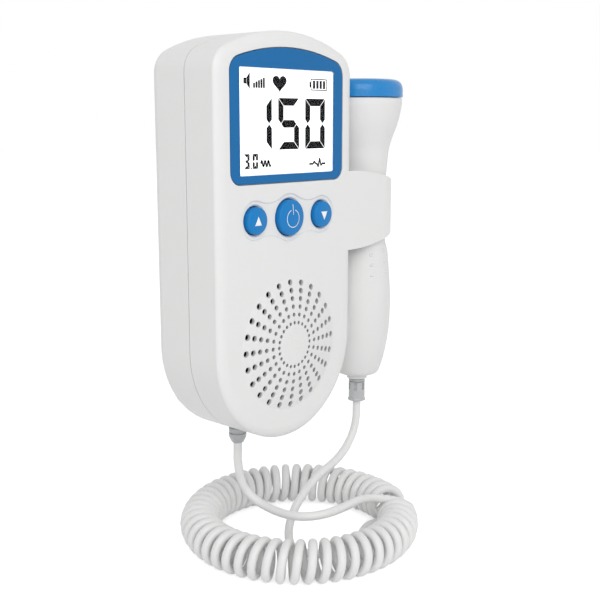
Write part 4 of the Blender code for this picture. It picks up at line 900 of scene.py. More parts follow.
@dataclass
class CurlyCord:
    """The cord: a ring of curls on the floor with a smooth tail to each strain relief."""

    diameter: float = 0.0031
    curl_diameter: float = 0.0150
    curls: int = 50
    ring_radius: float = 0.0364
    ring_x: float = 0.0165
    ring_y: float = -0.0203
    start: float = -41.5
    gap: float = 13.5
    sink: float = 0.001
    held: int = 4
    unit_route: tuple[tuple[float, float, float], ...] = (
        (-0.0045, -0.0097, -0.0900), (-0.0030, -0.0102, -0.0975), (-0.0012, -0.0120, -0.1018),
        (0.0005, -0.0160, -0.1042), (0.0008, -0.0225, -0.1052), (0.0005, -0.0300, -0.1048),
        (0.0025, -0.0360, -0.1043), (0.0080, -0.0398, -0.1040), (0.0160, -0.0408, -0.1040),
        (0.0250, -0.0402, -0.1042), (0.0335, -0.0397, -0.1056))
    probe_route: tuple[tuple[float, float, float], ...] = (
        (0.0512, -0.0189, -0.0850), (0.0484, -0.0189, -0.0905), (0.0432, -0.0189, -0.0955),
        (0.0365, -0.0189, -0.0985), (0.0295, -0.0189, -0.1003), (0.0225, -0.0189, -0.1040),
        (0.0160, -0.0189, -0.1092), (0.0105, -0.0205, -0.1150), (0.0060, -0.0250, -0.1190),
        (0.0045, -0.0310, -0.11955), (0.0075, -0.0372, -0.11955), (0.0140, -0.0408, -0.11955),
        (0.0220, -0.0410, -0.11955), (0.0300, -0.0388, -0.11955), (0.0370, -0.0352, -0.11955))

    def curl_line(self, per_turn: int = 24) -> Array:
        """Centre line of the curls, half a turn more than their count.

        It starts on top of the ring and ends under it. Each point is the ring's middle plus,
        straight outwards from it, the ring's radius and the curl radius times the cosine of the
        curl's phase, and upwards the same times its sine.
        """
        turns = self.curls + 0.5
        share = np.linspace(0, 1, int(turns * per_turn) + 1)
        angle = math.radians(self.start) - math.radians(360 - self.gap) * share
        phase = np.pi / 2 - 2 * np.pi * turns * share
        curl = (self.curl_diameter - self.diameter) / 2
        reach = self.ring_radius + curl * np.cos(phase)
        height = FLOOR_Z + self.curl_diameter / 2 + curl * np.sin(phase)
        return np.column_stack([self.ring_x + reach * np.cos(angle),
                                self.ring_y + reach * np.sin(angle), height])

    def outwards(self, point: Array) -> Array:
        """The level direction from the ring's middle to a point."""
        away = point - np.array([self.ring_x, self.ring_y, point[2]])
        return away / np.linalg.norm(away)

    @staticmethod
    def smooth_line(route: Array, spacing: float = 0.0012) -> Array:
        """Even points on the smooth cubic that passes through each point of a route.

        Between two points the cubic leaves along half the step from the point before to the point
        after, and arrives in the same way.
        """
        knots = np.vstack([2 * route[0] - route[1], route, 2 * route[-1] - route[-2]])
        t = np.linspace(0, 1, 24, endpoint=False)[:, None]
        a, b, c, d = knots[:-3, None], knots[1:-2, None], knots[2:-1, None], knots[3:, None]
        line = (2 * b + (c - a) * t + (2 * a - 5 * b + 4 * c - d) * t ** 2
                + (3 * b - a - 3 * c + d) * t ** 3) / 2
        line = np.vstack([line.reshape(-1, 3), route[-1:]])
        run = np.concatenate([[0], np.cumsum(np.linalg.norm(np.diff(line, axis=0), axis=1))])
        even = np.linspace(0, run[-1], max(8, round(run[-1] / spacing)))
        return np.column_stack([np.interp(even, run, line[:, axis]) for axis in range(3)])

    @staticmethod
    def relaxed(line: Array, free: slice, rounds: int = 12) -> Array:
        """A line whose free stretch is drawn towards the mean of its neighbours."""
        line = line.copy()
        for _ in range(rounds):
            middle = (line[:-2] + line[2:]) / 2
            line[1:-1][free] += 0.5 * (middle - line[1:-1])[free]
        return line

    @staticmethod
    def length(line: Array) -> float:
        """Length along a line."""
        return float(np.linalg.norm(np.diff(line, axis=0), axis=1).sum())

    def tail(self, leaving: Array, route: Sequence[Sequence[float]], end: Array,
             along: Array) -> Array:
        """A smooth tail that starts just inside its relief, straight down, and arrives along a way."""
        top = leaving + (0, 0, self.sink)
        below = top - (0, 0, self.diameter)
        before = end - along * self.diameter
        return np.vstack([top, self.smooth_line(np.vstack([below, route, before])), end])

    def build(self) -> None:
        """Make the curls with the unit's tail, and the probe's tail, which leaves from the probe."""
        curls = self.curl_line()
        unit_exit = np.array([*CORD_EXIT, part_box("unit_relief")[0].z - FIT])
        into = self.outwards(curls[0])
        first = self.tail(unit_exit, self.unit_route, curls[0] - into * self.diameter, into)
        whole = self.relaxed(np.vstack([first, curls]), slice(self.held, len(first) + self.held - 1))
        cord = tube("curly_cord", whole, self.diameter)
        smooth(cord, 60)
        settle(cord, Body.MONITOR, Finishes.CORD.material(),
               ("cord_curls", "cord_tail_unit"))
        self.length(whole)
        probe_exit = np.array([*PROBE_AXIS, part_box("probe_relief")[0].z - FIT])
        out = self.outwards(curls[-1])
        second = self.tail(probe_exit, self.probe_route, curls[-1] - out * self.diameter, out)
        second = self.relaxed(np.vstack([second, curls[-1:]]), slice(self.held, None))
        lead = tube("probe_lead", second, self.diameter)
        smooth(lead, 60)
        lead.data.materials.append(Finishes.CORD.material())
        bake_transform(lead)
        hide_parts("cord_tail_probe")
        self.length(second)
        LOG.info("cord %.3f m and lead %.3f m", self.length(whole), self.length(second))


@dataclass
class Case:
    """Both halves of the case, with the cradle, the battery door and the screws.

    The sizes are in groups: the shell, what is cut into the front, the cradle, the battery bay
    with its door, the screws, and the cord's way out.
    """

    outline: ArchedOutline = ArchedOutline(0.0325, 0.0597, -0.0753, 0.0680, 0.0085, 0.0325, 24)
    front_round: tuple[float, float] = (0.0042, 0.0020)
    back_round: tuple[float, float] = (0.0040, 0.0040)
    least_round: float = 0.0005

    recess_depth: float = 0.0004
    recess_slope: float = 0.0002
    recess_small: float = 0.0063
    recess_large: float = 0.0078
    recess_join: float = 0.0125
    bezel_seat: float = 0.0013
    display_margin: float = 0.0017
    dome_overlap: float = 0.0002
    hole_chamfer: float = 0.0005
    hole_depth: float = 0.0032

    cradle_bottom: float = -0.0139
    cradle_top: float = 0.0140
    cradle_sweep: float = 0.0820
    cradle_corner: float = 0.0090
    cradle_wall: float = 0.0016
    cradle_bore: float = 0.0105
    cradle_wrap: float = 12.0
    cradle_root: float = 0.0253
    cradle_overlap: float = 0.010
    cradle_fillet: float = 0.003
    cradle_fillet_x: float = 0.0355
    cradle_edge: float = 0.00035
    web_x: float = 0.0314
    web_reach: float = 0.0125

    bay_half: float = 0.01555
    bay_top: float = -0.0058
    bay_bottom: float = -0.0634
    bay_floor: float = -0.01715
    bay_wall: float = 0.0012
    door_ledge: float = 0.0015
    door_thick: float = 0.0020
    door_low_radius: float = 0.008
    door_high_radius: float = 0.003
    door_edge: tuple[tuple[float, float], ...] = ((0.0, -0.0004), (0.0001, -0.00015), (0.0004, 0.0))
    tongue_half: float = 0.005
    tongue_length: float = 0.009
    tongue_slot_half: float = 0.00045
    groove_half: float = 0.0041
    groove_depth: float = 0.0005
    groove_width: float = 0.0008
    grooves: int = 3
    notch: tuple[tuple[float, float], ...] = (
        (0, OVERRUN), (0.0037, OVERRUN), (0.0032, 0.0), (0.0022, -0.0011), (0.0010, -0.0014),
        (0, -0.0014))

    screws: tuple[tuple[float, float], ...] = ((-0.013, 0.05384), (0.013, 0.05384),
                                               (-0.02145, -0.0608), (0.02145, -0.0608))
    screw_profile: tuple[tuple[float, float], ...] = (
        (0, 0.0016), (0.0015, 0.0016), (0.0024, 0.0009), (0.0024, 0), (0.0011, 0),
        (0.0011, -0.0089), (0, -0.0100))
    screw_rounding: tuple[float, ...] = (0, 0.0005, 0.0004, 0.0001, 0.0001, 0.0003, 0)
    screw_seat: float = 0.0030
    post_radius: float = 0.0038
    sink_radius: float = 0.0028
    screw_hole: float = 0.0014
    cross_reach: float = 0.0013
    cross_half: float = 0.00028
    cross_floor: float = 0.0007
    cross_top: float = 0.002

    exit_radius: float = 0.0027
    exit_reach: float = 0.006
    exit_z: float = -0.0742

    def shell(self, name: str, rim: float, face: float, rounding: tuple[float, float]) -> Piece:
        """Half a case as one closed wall: outlines drawn in along a quarter ellipse at the face.

        Args:
            name: The object's name.
            rim: Depth of the open rim.
            face: Depth of the flat face.
            rounding: How far the ellipse reaches over the face and along the side.

        Returns:
            The hollow half.
        """
        towards = math.copysign(1.0, face - rim)
        turn = np.radians(np.linspace(0, 90, 17))
        wide, deep = rounding
        inner_wide, inner_deep = wide - WALL, max(deep - WALL, self.least_round)
        outside = [(wide * (1 - np.cos(a)), face - towards * deep * (1 - np.sin(a)))
                   for a in turn]
        inside = [(WALL + inner_wide * (1 - np.cos(a)),
                   face - towards * (WALL + inner_deep * (1 - np.sin(a)))) for a in turn[::-2]]
        solid = lofted(name, [upright(self.outline.points(inset), y)
                              for inset, y in [(0.0, rim), *outside]])
        hollow = lofted(name + "_hollow", [upright(self.outline.points(inset), y) for inset, y
                                           in [*inside, (WALL, rim - towards * OVERRUN)]])
        carve(solid, cuts=[hollow])
        return solid

    def cradle_plan(self) -> Array:
        """The cradle seen from above: a flat front that wraps round the probe's neck."""
        outer = self.cradle_bore + self.cradle_wall
        wrap, fillet = self.cradle_wrap, self.cradle_fillet
        back = FRONT + self.cradle_wall
        meeting = math.degrees(math.asin((back - PROBE_AXIS[1]) / outer))
        return without_repeats(np.vstack([
            [(self.cradle_root, FRONT)], arc(PROBE_AXIS, outer, -90, wrap, 40),
            arc(PROBE_AXIS, self.cradle_bore, wrap, -180 - wrap, 64),
            arc(PROBE_AXIS, outer, -180 - wrap, -180 - meeting, 24),
            arc((self.cradle_fillet_x, back + fillet), fillet, -90, -180, 8),
            [(self.web_x, back + 2 * fillet), (self.cradle_root, back + 2 * fillet)]]))

    def cradle_front(self) -> Array:
        """The cradle seen from the front.

        Its top falls and its bottom rises along one large arc each, and a smaller arc that meets
        the large one without a kink rounds each corner at the far end.
        """
        right = PROBE_AXIS[0] + self.cradle_bore + self.cradle_wall + OVERRUN
        side = self.outline.half
        root = side - self.cradle_overlap
        sweep, corner = self.cradle_sweep, self.cradle_corner
        reach = sweep - corner
        lean = math.asin((right - corner - side) / reach)
        turn = math.degrees(lean)
        drop = sweep - reach * math.cos(lean)
        low, high = self.cradle_bottom, self.cradle_top
        return without_repeats(np.vstack([
            [(root, low)], arc((side, low + sweep), sweep, 270, 270 + turn, 16),
            arc((right - corner, low + drop), corner, 270 + turn, 360, 16),
            arc((right - corner, high - drop), corner, 0, 90 - turn, 16),
            arc((side, high - sweep), sweep, 90 - turn, 90, 16), [(root, high)]]))

    def cradle(self) -> list[Piece]:
        """The cradle's wall with softened edges, and the web that ties it to the case."""
        plan = self.cradle_plan()
        level = [np.column_stack([plan, np.full(len(plan), z)])
                 for z in (self.cradle_bottom - OVERRUN, self.cradle_top + OVERRUN)]
        wall = lofted("cradle_wall", level)
        carve(wall, keeps=[prism("cradle_trim", self.cradle_front(), FRONT - OVERRUN, OVERRUN)])
        soften(wall, self.cradle_edge, angle=50, segments=3)
        x, y = PROBE_AXIS
        half = self.cradle_wall / 2
        web = box("cradle_web", (self.web_x, y - half, -self.web_reach),
                  (x - self.cradle_bore - half, y + half, self.web_reach))
        return [wall, web]

    def recess_outline(self, grow: float) -> Array:
        """The shallow three-lobed recess: a circle round each button, smoothly joined, and grown."""
        small, large, join = self.recess_small + grow, self.recess_large + grow, self.recess_join - grow
        near, far, pitch = large + join, small + join, BUTTON_PITCH
        along = (near ** 2 - far ** 2 + pitch ** 2) / (2 * pitch)
        up = math.sqrt(near ** 2 - along ** 2)
        big = math.degrees(math.atan2(up, along))
        little = math.degrees(math.atan2(up, along - pitch))
        hollow = arc((along, up), join, little - 180, big - 180, 8)[1:-1]
        upper = np.vstack([arc((pitch, 0), small, -little, little, 36), hollow,
                           arc((0, 0), large, big, 180 - big, 18)])
        mirrored = hollow[::-1] * (-1, 1)
        return without_repeats(np.vstack([upper, mirrored, -upper, -mirrored]))

    def button_hole(self, button: "PushButton") -> Piece:
        """The round hole for a button, chamfered at the recess's floor."""
        hole = button.radius + FIT
        wide = hole + self.hole_chamfer
        floor = -self.recess_depth
        rim = [(0, OVERRUN), (wide, OVERRUN), (wide, floor), (hole, floor - self.hole_chamfer),
               (hole, -self.hole_depth), (0, -self.hole_depth)]
        return turned(button.name + "_hole", rim, (button.x, FRONT, 0), Facing.FRONT, 72)

    def front(self) -> None:
        """The front half, with all that is cut into it."""
        cover = self.shell("case_front", SEAM, FRONT, self.front_round)
        carve(cover, joins=self.cradle())
        slope = self.recess_slope
        recess = [upright(self.recess_outline(grow), FRONT + depth) for grow, depth in (
            (-slope, self.recess_depth), (slope, 0.0), (slope, -OVERRUN))]
        cuts = [prism("hollow_again", self.outline.points(self.front_round[0]), FRONT + WALL,
                      SEAM + OVERRUN),
                prism("bezel_recess", Screen.bezel_outline().points(-FIT), FRONT - OVERRUN,
                      FRONT + self.bezel_seat),
                prism("display_opening", Screen.window_outline(self.display_margin),
                      FRONT - OVERRUN, FRONT + WALL + OVERRUN),
                lofted("button_recess", recess),
                rod("grille_opening", SpeakerDome.edge - self.dome_overlap, OVERRUN,
                    -self.hole_depth, (0, FRONT, GRILLE_Z), Facing.FRONT, 96)]
        cuts += [self.button_hole(button) for button in BUTTONS]
        carve(cover, cuts=cuts)
        smooth(cover)
        settle(cover, Body.MONITOR, Finishes.SHELL.material(), ("front_cover",))

    def door_outline(self, grow: float = 0.0) -> Array:
        """The battery door's outline, grown by a margin."""
        half = self.bay_half + self.door_ledge + grow
        return rounded_rectangle(-half, half, self.bay_bottom - self.door_ledge - grow,
                                 self.bay_top + self.door_ledge + grow, self.door_low_radius,
                                 self.door_high_radius, 12)

    def back(self) -> None:
        """The back half, with its battery bay, screw posts, door seat and finger notch."""
        rim = PARTING + FIT
        seat = rim + self.screw_seat
        cover = self.shell("case_back", SEAM + FIT, 0.0, self.back_round)
        outer = self.door_ledge + self.bay_wall
        joins = [box("bay", (-self.bay_half - outer, self.bay_floor - self.bay_wall,
                             self.bay_bottom - outer),
                     (self.bay_half + outer, -WALL / 2, self.bay_top + outer))]
        joins += [rod(f"post_{n}", self.post_radius, WALL / 2, rim + WALL, (x, -WALL, z), Facing.BACK)
                  for n, (x, z) in enumerate(self.screws)]
        cuts = [box("bay_hollow", (-self.bay_half, self.bay_floor, self.bay_bottom),
                    (self.bay_half, OVERRUN, self.bay_top)),
                prism("door_seat", self.door_outline(FIT), -self.door_thick - FIT, OVERRUN),
                turned("finger_notch", self.notch, (0, 0, self.bay_top + self.door_ledge),
                       Facing.BACK, 48)]
        sink = [(0, OVERRUN), (self.sink_radius, OVERRUN), (self.sink_radius, seat),
                (self.screw_hole, seat), (self.screw_hole, rim - OVERRUN), (0, rim - OVERRUN)]
        cuts += [turned(f"sink_{n}", sink, (x, 0, z), Facing.BACK, 40)
                 for n, (x, z) in enumerate(self.screws)]
        cuts.append(rod("cord_exit", self.exit_radius, self.exit_reach, -self.exit_reach,
                        (*CORD_EXIT, self.exit_z), Facing.UP))
        carve(cover, joins=joins, cuts=cuts)
        smooth(cover)
        settle(cover, Body.MONITOR, Finishes.SHELL.material(), ("back_cover",))

    def door(self) -> None:
        """The battery door with its sprung tongue and the grooves on it."""
        door = lofted("bay_door", [upright(self.door_outline(-inset), y) for inset, y
                                   in [(0.0, -self.door_thick), *self.door_edge]])
        top = self.bay_top + self.door_ledge
        reach, slot, width = self.tongue_half, self.tongue_slot_half, self.groove_width
        cuts = [box(f"tongue_slot_{side}",
                    (side * reach - slot, -2 * self.door_thick, top - self.tongue_length),
                    (side * reach + slot, OVERRUN, top + OVERRUN)) for side in (-1, 1)]
        for number in range(self.grooves):
            middle = top - width * (2 * number + 2)
            cuts.append(box(f"grip_groove_{number}",
                            (-self.groove_half, -self.groove_depth, middle - width / 2),
                            (self.groove_half, OVERRUN, middle + width / 2)))
        carve(door, cuts=cuts)
        smooth(door)
        settle(door, Body.DOOR, Finishes.SHELL.material(), ("battery_door",))

    def fasteners(self) -> None:
        """Four case screws with rounded heads and a cross recess."""
        seat = PARTING + FIT + self.screw_seat + FIT
        line = eased(self.screw_profile, self.screw_rounding, 4)
        arms = ((self.cross_reach, self.cross_half), (self.cross_half, self.cross_reach))
        for number, (x, z) in enumerate(self.screws, 1):
            screw = turned(f"screw_{number}", line, (x, seat, z), Facing.BACK, 32)
            cross = [box(f"cross_{number}_{way}", (x - wide, seat + self.cross_floor, z - tall),
                         (x + wide, seat + self.cross_top, z + tall))
                     for way, (wide, tall) in enumerate(arms)]
            carve(screw, cuts=cross)
            smooth(screw)
            settle(screw, Body.MONITOR, Finishes.ZINC.material(),
                   (f"case_screw_{number}",))

    def build(self) -> None:
        """Make every part of the case."""
        self.front()
        self.back()
        self.door()
        self.fasteners()


@dataclass(frozen=True)
class PushButton:
    """A domed push button, its symbol, and the body that it rides on."""

    name: str
    node: str
    body: Body
    x: float
    radius: float
    proud: float = 0.0011
    crown: float = 0.0006
    shoulder: float = 0.0005
    edge_round: float = 0.0001
    top_round: float = 0.00042
    flange: float = 0.001
    flange_front: float = -0.0025
    flange_back: float = -0.0035
    stem: float = 0.0016
    stem_back: float = -0.0040
    ink: float = 0.00003
    arrow_half: float = 0.00150
    arrow_tall: float = 0.0029
    arrow_foot: float = 0.42
    arrow_taper: float = 0.999
    arrow_place: tuple[float, float] = (-0.0004, -0.0002)
    sign_z: float = -0.0003
    sign_ring: tuple[float, float] = (0.00278, 0.00300)
    sign_arc: tuple[float, float] = (108, 432)
    sign_bar: tuple[float, float] = (0.0010, 0.0044)
    sign_bar_half: float = 0.00011

    def height(self, radius: Array) -> Array:
        """Height above the case: the proud edge plus a crown that falls with the radius squared."""
        return self.proud + self.crown * (1 - (radius / self.radius) ** 2)

    def cap(self) -> None:
        """The button's body, turned about its axis."""
        reach = np.linspace(0, self.radius - self.shoulder, 14)
        crown = np.column_stack([reach, self.height(reach)])
        edge, flange = self.radius, self.radius + self.flange
        front, back, end = self.flange_front, self.flange_back, self.stem_back
        side = eased([crown[-1], (edge, self.proud - self.edge_round), (edge, front), (flange, front),
                      (flange, back), (self.stem, back), (self.stem, end), (0, end)],
                     [0, self.top_round, *[self.edge_round] * 5, 0], 6)
        button = turned(self.name, np.vstack([crown, side[1:]]), (self.x, FRONT, 0), Facing.FRONT, 72)
        smooth(button, 40)
        settle(button, self.body, Finishes.BUTTON.material(), (self.node,))

    def printed(self, name: str, patches: Sequence[Array]) -> None:
        """Thin print that follows the crown.

        Args:
            name: The piece's name.
            patches: Grids of points (rows, columns, 2) in the button's own plane.
        """
        sheet = Patchwork()
        for patch in patches:
            flat = patch.reshape(-1, 2)
            lift = self.height(np.linalg.norm(flat, axis=1)) + self.ink
            sheet.add(np.column_stack([self.x + flat[:, 0], FRONT - lift, flat[:, 1]]),
                         *patch.shape[:2])
        made = sheet.surface(name, outwards=False)
        thicken(made, self.ink, 0)
        settle(made, self.body, Finishes.PRINT.material())

    def triangle(self, way: int) -> None:
        """A small triangle that points up or down: rows that narrow towards its tip."""
        rise = np.linspace(0, 1, 9)[:, None]
        across = np.linspace(-1, 1, 9)[None]
        half = self.arrow_half * (1 - rise * self.arrow_taper)
        x, z = self.arrow_place
        tall = np.broadcast_to((rise - self.arrow_foot) * self.arrow_tall * way + z, (9, 9))
        self.printed(self.name + "_arrow", [np.stack([across * half + x, tall], -1)])

    def power_sign(self) -> None:
        """A thin ring, open at its top, and a bar through the opening."""
        angle = np.radians(np.linspace(*self.sign_arc, 73))[:, None]
        reach = np.linspace(*self.sign_ring, 3)[None]
        ring = np.stack([reach * np.cos(angle), self.sign_z + reach * np.sin(angle)], -1)
        tall = np.linspace(*self.sign_bar, 9)[:, None]
        wide = np.linspace(-self.sign_bar_half, self.sign_bar_half, 3)[None]
        bar = np.stack(np.broadcast_arrays(wide, tall), -1)
        self.printed(self.name + "_sign", [ring, bar])

    def build(self) -> None:
        """Make the button and its symbol."""
        self.cap()
        if self.body is Body.POWER:
            self.power_sign()
        else:
            self.triangle(1 if self.body is Body.UP else -1)


BUTTONS = (PushButton("up_cap", "up_button", Body.UP, -BUTTON_PITCH, 0.0044),
           PushButton("power_cap", "power_button", Body.POWER, 0.0, 0.0059),
           PushButton("down_cap", "down_button", Body.DOWN, BUTTON_PITCH, 0.0044))


@dataclass
class Screen:
    """Blue bezel, clear window, and the lit display with its figures."""

    face: float = -0.02976
    shift: float = 0.0007
    plate: float = 0.00004
    window_half: float = 0.0226
    window_low: float = 0.0143
    window_high: float = 0.04774
    window_corner: float = 0.0004
    bezel_rows: tuple[tuple[float, float], ...] = (
        (0.0, -0.0300), (0.0, -0.03085), (0.00006, -0.03096), (0.0002, FRONT))
    bezel_cut_back: float = -0.029
    stroke: float = 0.0024
    digit_low: float = 0.0222
    digit_high: float = 0.0386
    digits: tuple[tuple[str, float, float], ...] = (
        ("1", -0.0182, -0.0080), ("5", -0.0049, 0.0050), ("0", 0.0081, 0.0180))
    mitre: float = 0.07
    small_stroke: float = 0.00090
    small_low: float = 0.0164
    small_high: float = 0.0211
    line: float = 0.00062
    pulse: tuple[tuple[float, float], ...] = (
        (0.0101, 0.0171), (0.0121, 0.0171), (0.0127, 0.0180), (0.0134, 0.0171), (0.0141, 0.0171),
        (0.0147, 0.0160), (0.0154, 0.0190), (0.0161, 0.0164), (0.0166, 0.0171), (0.0184, 0.0171))
    shapes: list[Array] = field(default_factory=list)

    @staticmethod
    def bezel_outline() -> ArchedOutline:
        """The bezel's outline."""
        return ArchedOutline(0.0267, 0.0543, 0.0117, 0.0800, 0.0050, 0.0040, 16)

    @classmethod
    def window_outline(cls, grow: float = 0.0) -> Array:
        """The window's outline, grown by a margin."""
        half = cls.window_half + grow
        return rounded_rectangle(-half, half, cls.window_low - grow, cls.window_high + grow,
                                 cls.window_corner, cls.window_corner, 6)

    def bezel(self) -> None:
        """The flat blue frame, its outer edge a little rounded."""
        outline = self.bezel_outline()
        bezel = lofted("bezel", [upright(outline.points(inset), y) for inset, y in self.bezel_rows])
        carve(bezel, cuts=[prism("bezel_cut", self.window_outline(), FRONT - OVERRUN,
                                 self.bezel_cut_back)])
        smooth(bezel)
        settle(bezel, Body.MONITOR, Finishes.BEZEL.material(), ("screen_bezel",))

    def add(self, *corners: Sequence[float]) -> None:
        """Keep a filled shape for the display."""
        self.shapes.append(np.array(corners, float))

    def bar(self, left: float, right: float, low: float, high: float) -> None:
        """Keep a filled rectangle for the display."""
        self.add((left, low), (right, low), (right, high), (left, high))

    def digit(self, figure: str, left: float, right: float, low: float, high: float,
              stroke: float) -> None:
        """A seven-stroke figure in a box: strokes mitred at the corners, pointed at the middle.

        Args:
            figure: The figure drawn.
            left: Its box's left side.
            right: Its box's right side.
            low: Its box's lower side.
            high: Its box's upper side.
            stroke: Width of each stroke.
        """
        gap, half = stroke * self.mitre, stroke / 2
        middle = (low + high) / 2
        for letter in {"0": "abcdef", "1": "bc", "3": "abcdg", "5": "acdfg"}[figure]:
            if letter in "ad":
                end, way = (high, -1) if letter == "a" else (low, 1)
                self.add((left + gap, end), (right - gap, end),
                         (right - gap - stroke, end + way * stroke),
                         (left + gap + stroke, end + way * stroke))
            elif letter == "g":
                self.add((left + half + gap, middle), (left + stroke + gap, middle + half),
                         (right - stroke - gap, middle + half), (right - half - gap, middle),
                         (right - stroke - gap, middle - half), (left + stroke + gap, middle - half))
            else:
                side, inward = (left, 1) if letter in "ef" else (right, -1)
                end, way = (high, -1) if letter in "bf" else (low, 1)
                inner = side + inward * stroke
                self.add((side, end + way * gap), (inner, end + way * (gap + stroke)),
                         (inner, middle - way * (gap + half)),
                         (side + inward * half, middle - way * gap),
                         (side, middle - way * (gap + half)))

    def loudspeaker(self) -> None:
        """A loudspeaker beside five bars that grow to the right."""
        middle = 0.0436
        back, front, mouth = -0.01915, -0.0178, 0.0026
        self.bar(-0.0205, -0.0193, middle - 0.0009, middle + 0.0009)
        self.add((back, middle - 0.0010), (front, middle - mouth), (front, middle + mouth),
                 (back, middle + 0.0010))
        start, pitch, width, low, high, growth = -0.0163, 0.0011, 0.0008, 0.0415, 0.0431, 0.0004
        for number in range(5):
            left = start + pitch * number
            self.bar(left, left + width, low, high + growth * number)

    def heart(self) -> None:
        """A heart: the sine cubed across, and a sum of four cosines upwards."""
        centre, scale = (-0.00425, 0.04335), (0.000203, 0.000181)
        turn = np.linspace(0, 2 * np.pi, 48, endpoint=False)
        across = 16 * np.sin(turn) ** 3
        upwards = 13 * np.cos(turn) - 5 * np.cos(2 * turn) - 2 * np.cos(3 * turn) - np.cos(4 * turn)
        self.shapes.append((centre + np.column_stack([across, upwards]) * scale)[::-1])

    def battery(self) -> None:
        """A battery: four thin sides, a nub on its left and four bars inside."""
        left, right, low, high, line = 0.0108, 0.0190, 0.0413, 0.0451, 0.00030
        self.bar(left, right, low, low + line)
        self.bar(left, right, high - line, high)
        self.bar(right - line, right, low, high)
        self.bar(left, left + line, low, high)
        self.bar(left - 0.0006, left, low + 0.0010, high - 0.0010)
        width, pitch, margin = 0.0011, 0.0017, 0.0006
        for number in range(4):
            start = left + width + pitch * number
            self.bar(start, start + width, low + margin, high - margin)

    def lower_row(self) -> None:
        """The frequency in small figures, a wave after it, and a pulse line on the right."""
        low, high, stroke = self.small_low, self.small_high, self.small_stroke
        self.digit("3", -0.0206, -0.0182, low, high, stroke)
        self.bar(-0.0177, -0.0172, low, low + 0.0005)
        self.digit("0", -0.0168, -0.0144, low, high, stroke)
        start, step, middle, swing, phase = -0.0131, 0.0001, 0.0179, 0.0010, 0.41
        self.ribbon([(start + step * n, middle + swing * math.sin(n * phase)) for n in range(46)],
                    self.line)
        self.ribbon(self.pulse, self.line)

    def ribbon(self, line: Sequence[Sequence[float]], width: float) -> None:
        """A thin line of even width: short four-sided pieces from point to point."""
        for start, end in zip(line, line[1:]):
            a, b = np.array(start), np.array(end)
            side = np.array([a[1] - b[1], b[0] - a[0]]) / np.linalg.norm(b - a) * width / 2
            self.shapes.append(np.array([a - side, b - side, b + side, a + side]))

    def figures(self) -> None:
        """Large figures and icons as one piece of thin plates on the display."""
        for figure, left, right in self.digits:
            self.digit(figure, left, right, self.digit_low, self.digit_high, self.stroke)
        self.loudspeaker()
        self.heart()
        self.battery()
        self.lower_row()
        points: list[Array] = []
        faces: list[list[int]] = []
        start = 0
        for shape in self.shapes:
            count = len(shape)
            moved = shape + (self.shift, 0)
            points += [upright(moved, self.face - self.plate), upright(moved, self.face)]
            faces.append(list(range(start, start + count)))
            faces.append(list(range(start + 2 * count - 1, start + count - 1, -1)))
            ring = np.arange(count)
            following = (ring + 1) % count
            sides = np.column_stack([ring + start, ring + start + count, following + start + count,
                                     following + start])
            faces += sides.tolist()
            start += 2 * count
        plates = add_surface("display_figures", np.vstack(points), np.zeros((0, 4), int), faces)
        settle(plates, Body.MONITOR, Finishes.FIGURE.material())

    def build(self) -> None:
        """Make the bezel and the figures, and dress the solids behind the window."""
        self.bezel()
        self.figures()
        dress(Finishes.WINDOW.material(), "screen_window")
        dress(Finishes.DISPLAY.material(), "display_panel")
        dress(Finishes.INNER.material(), "display_frame")


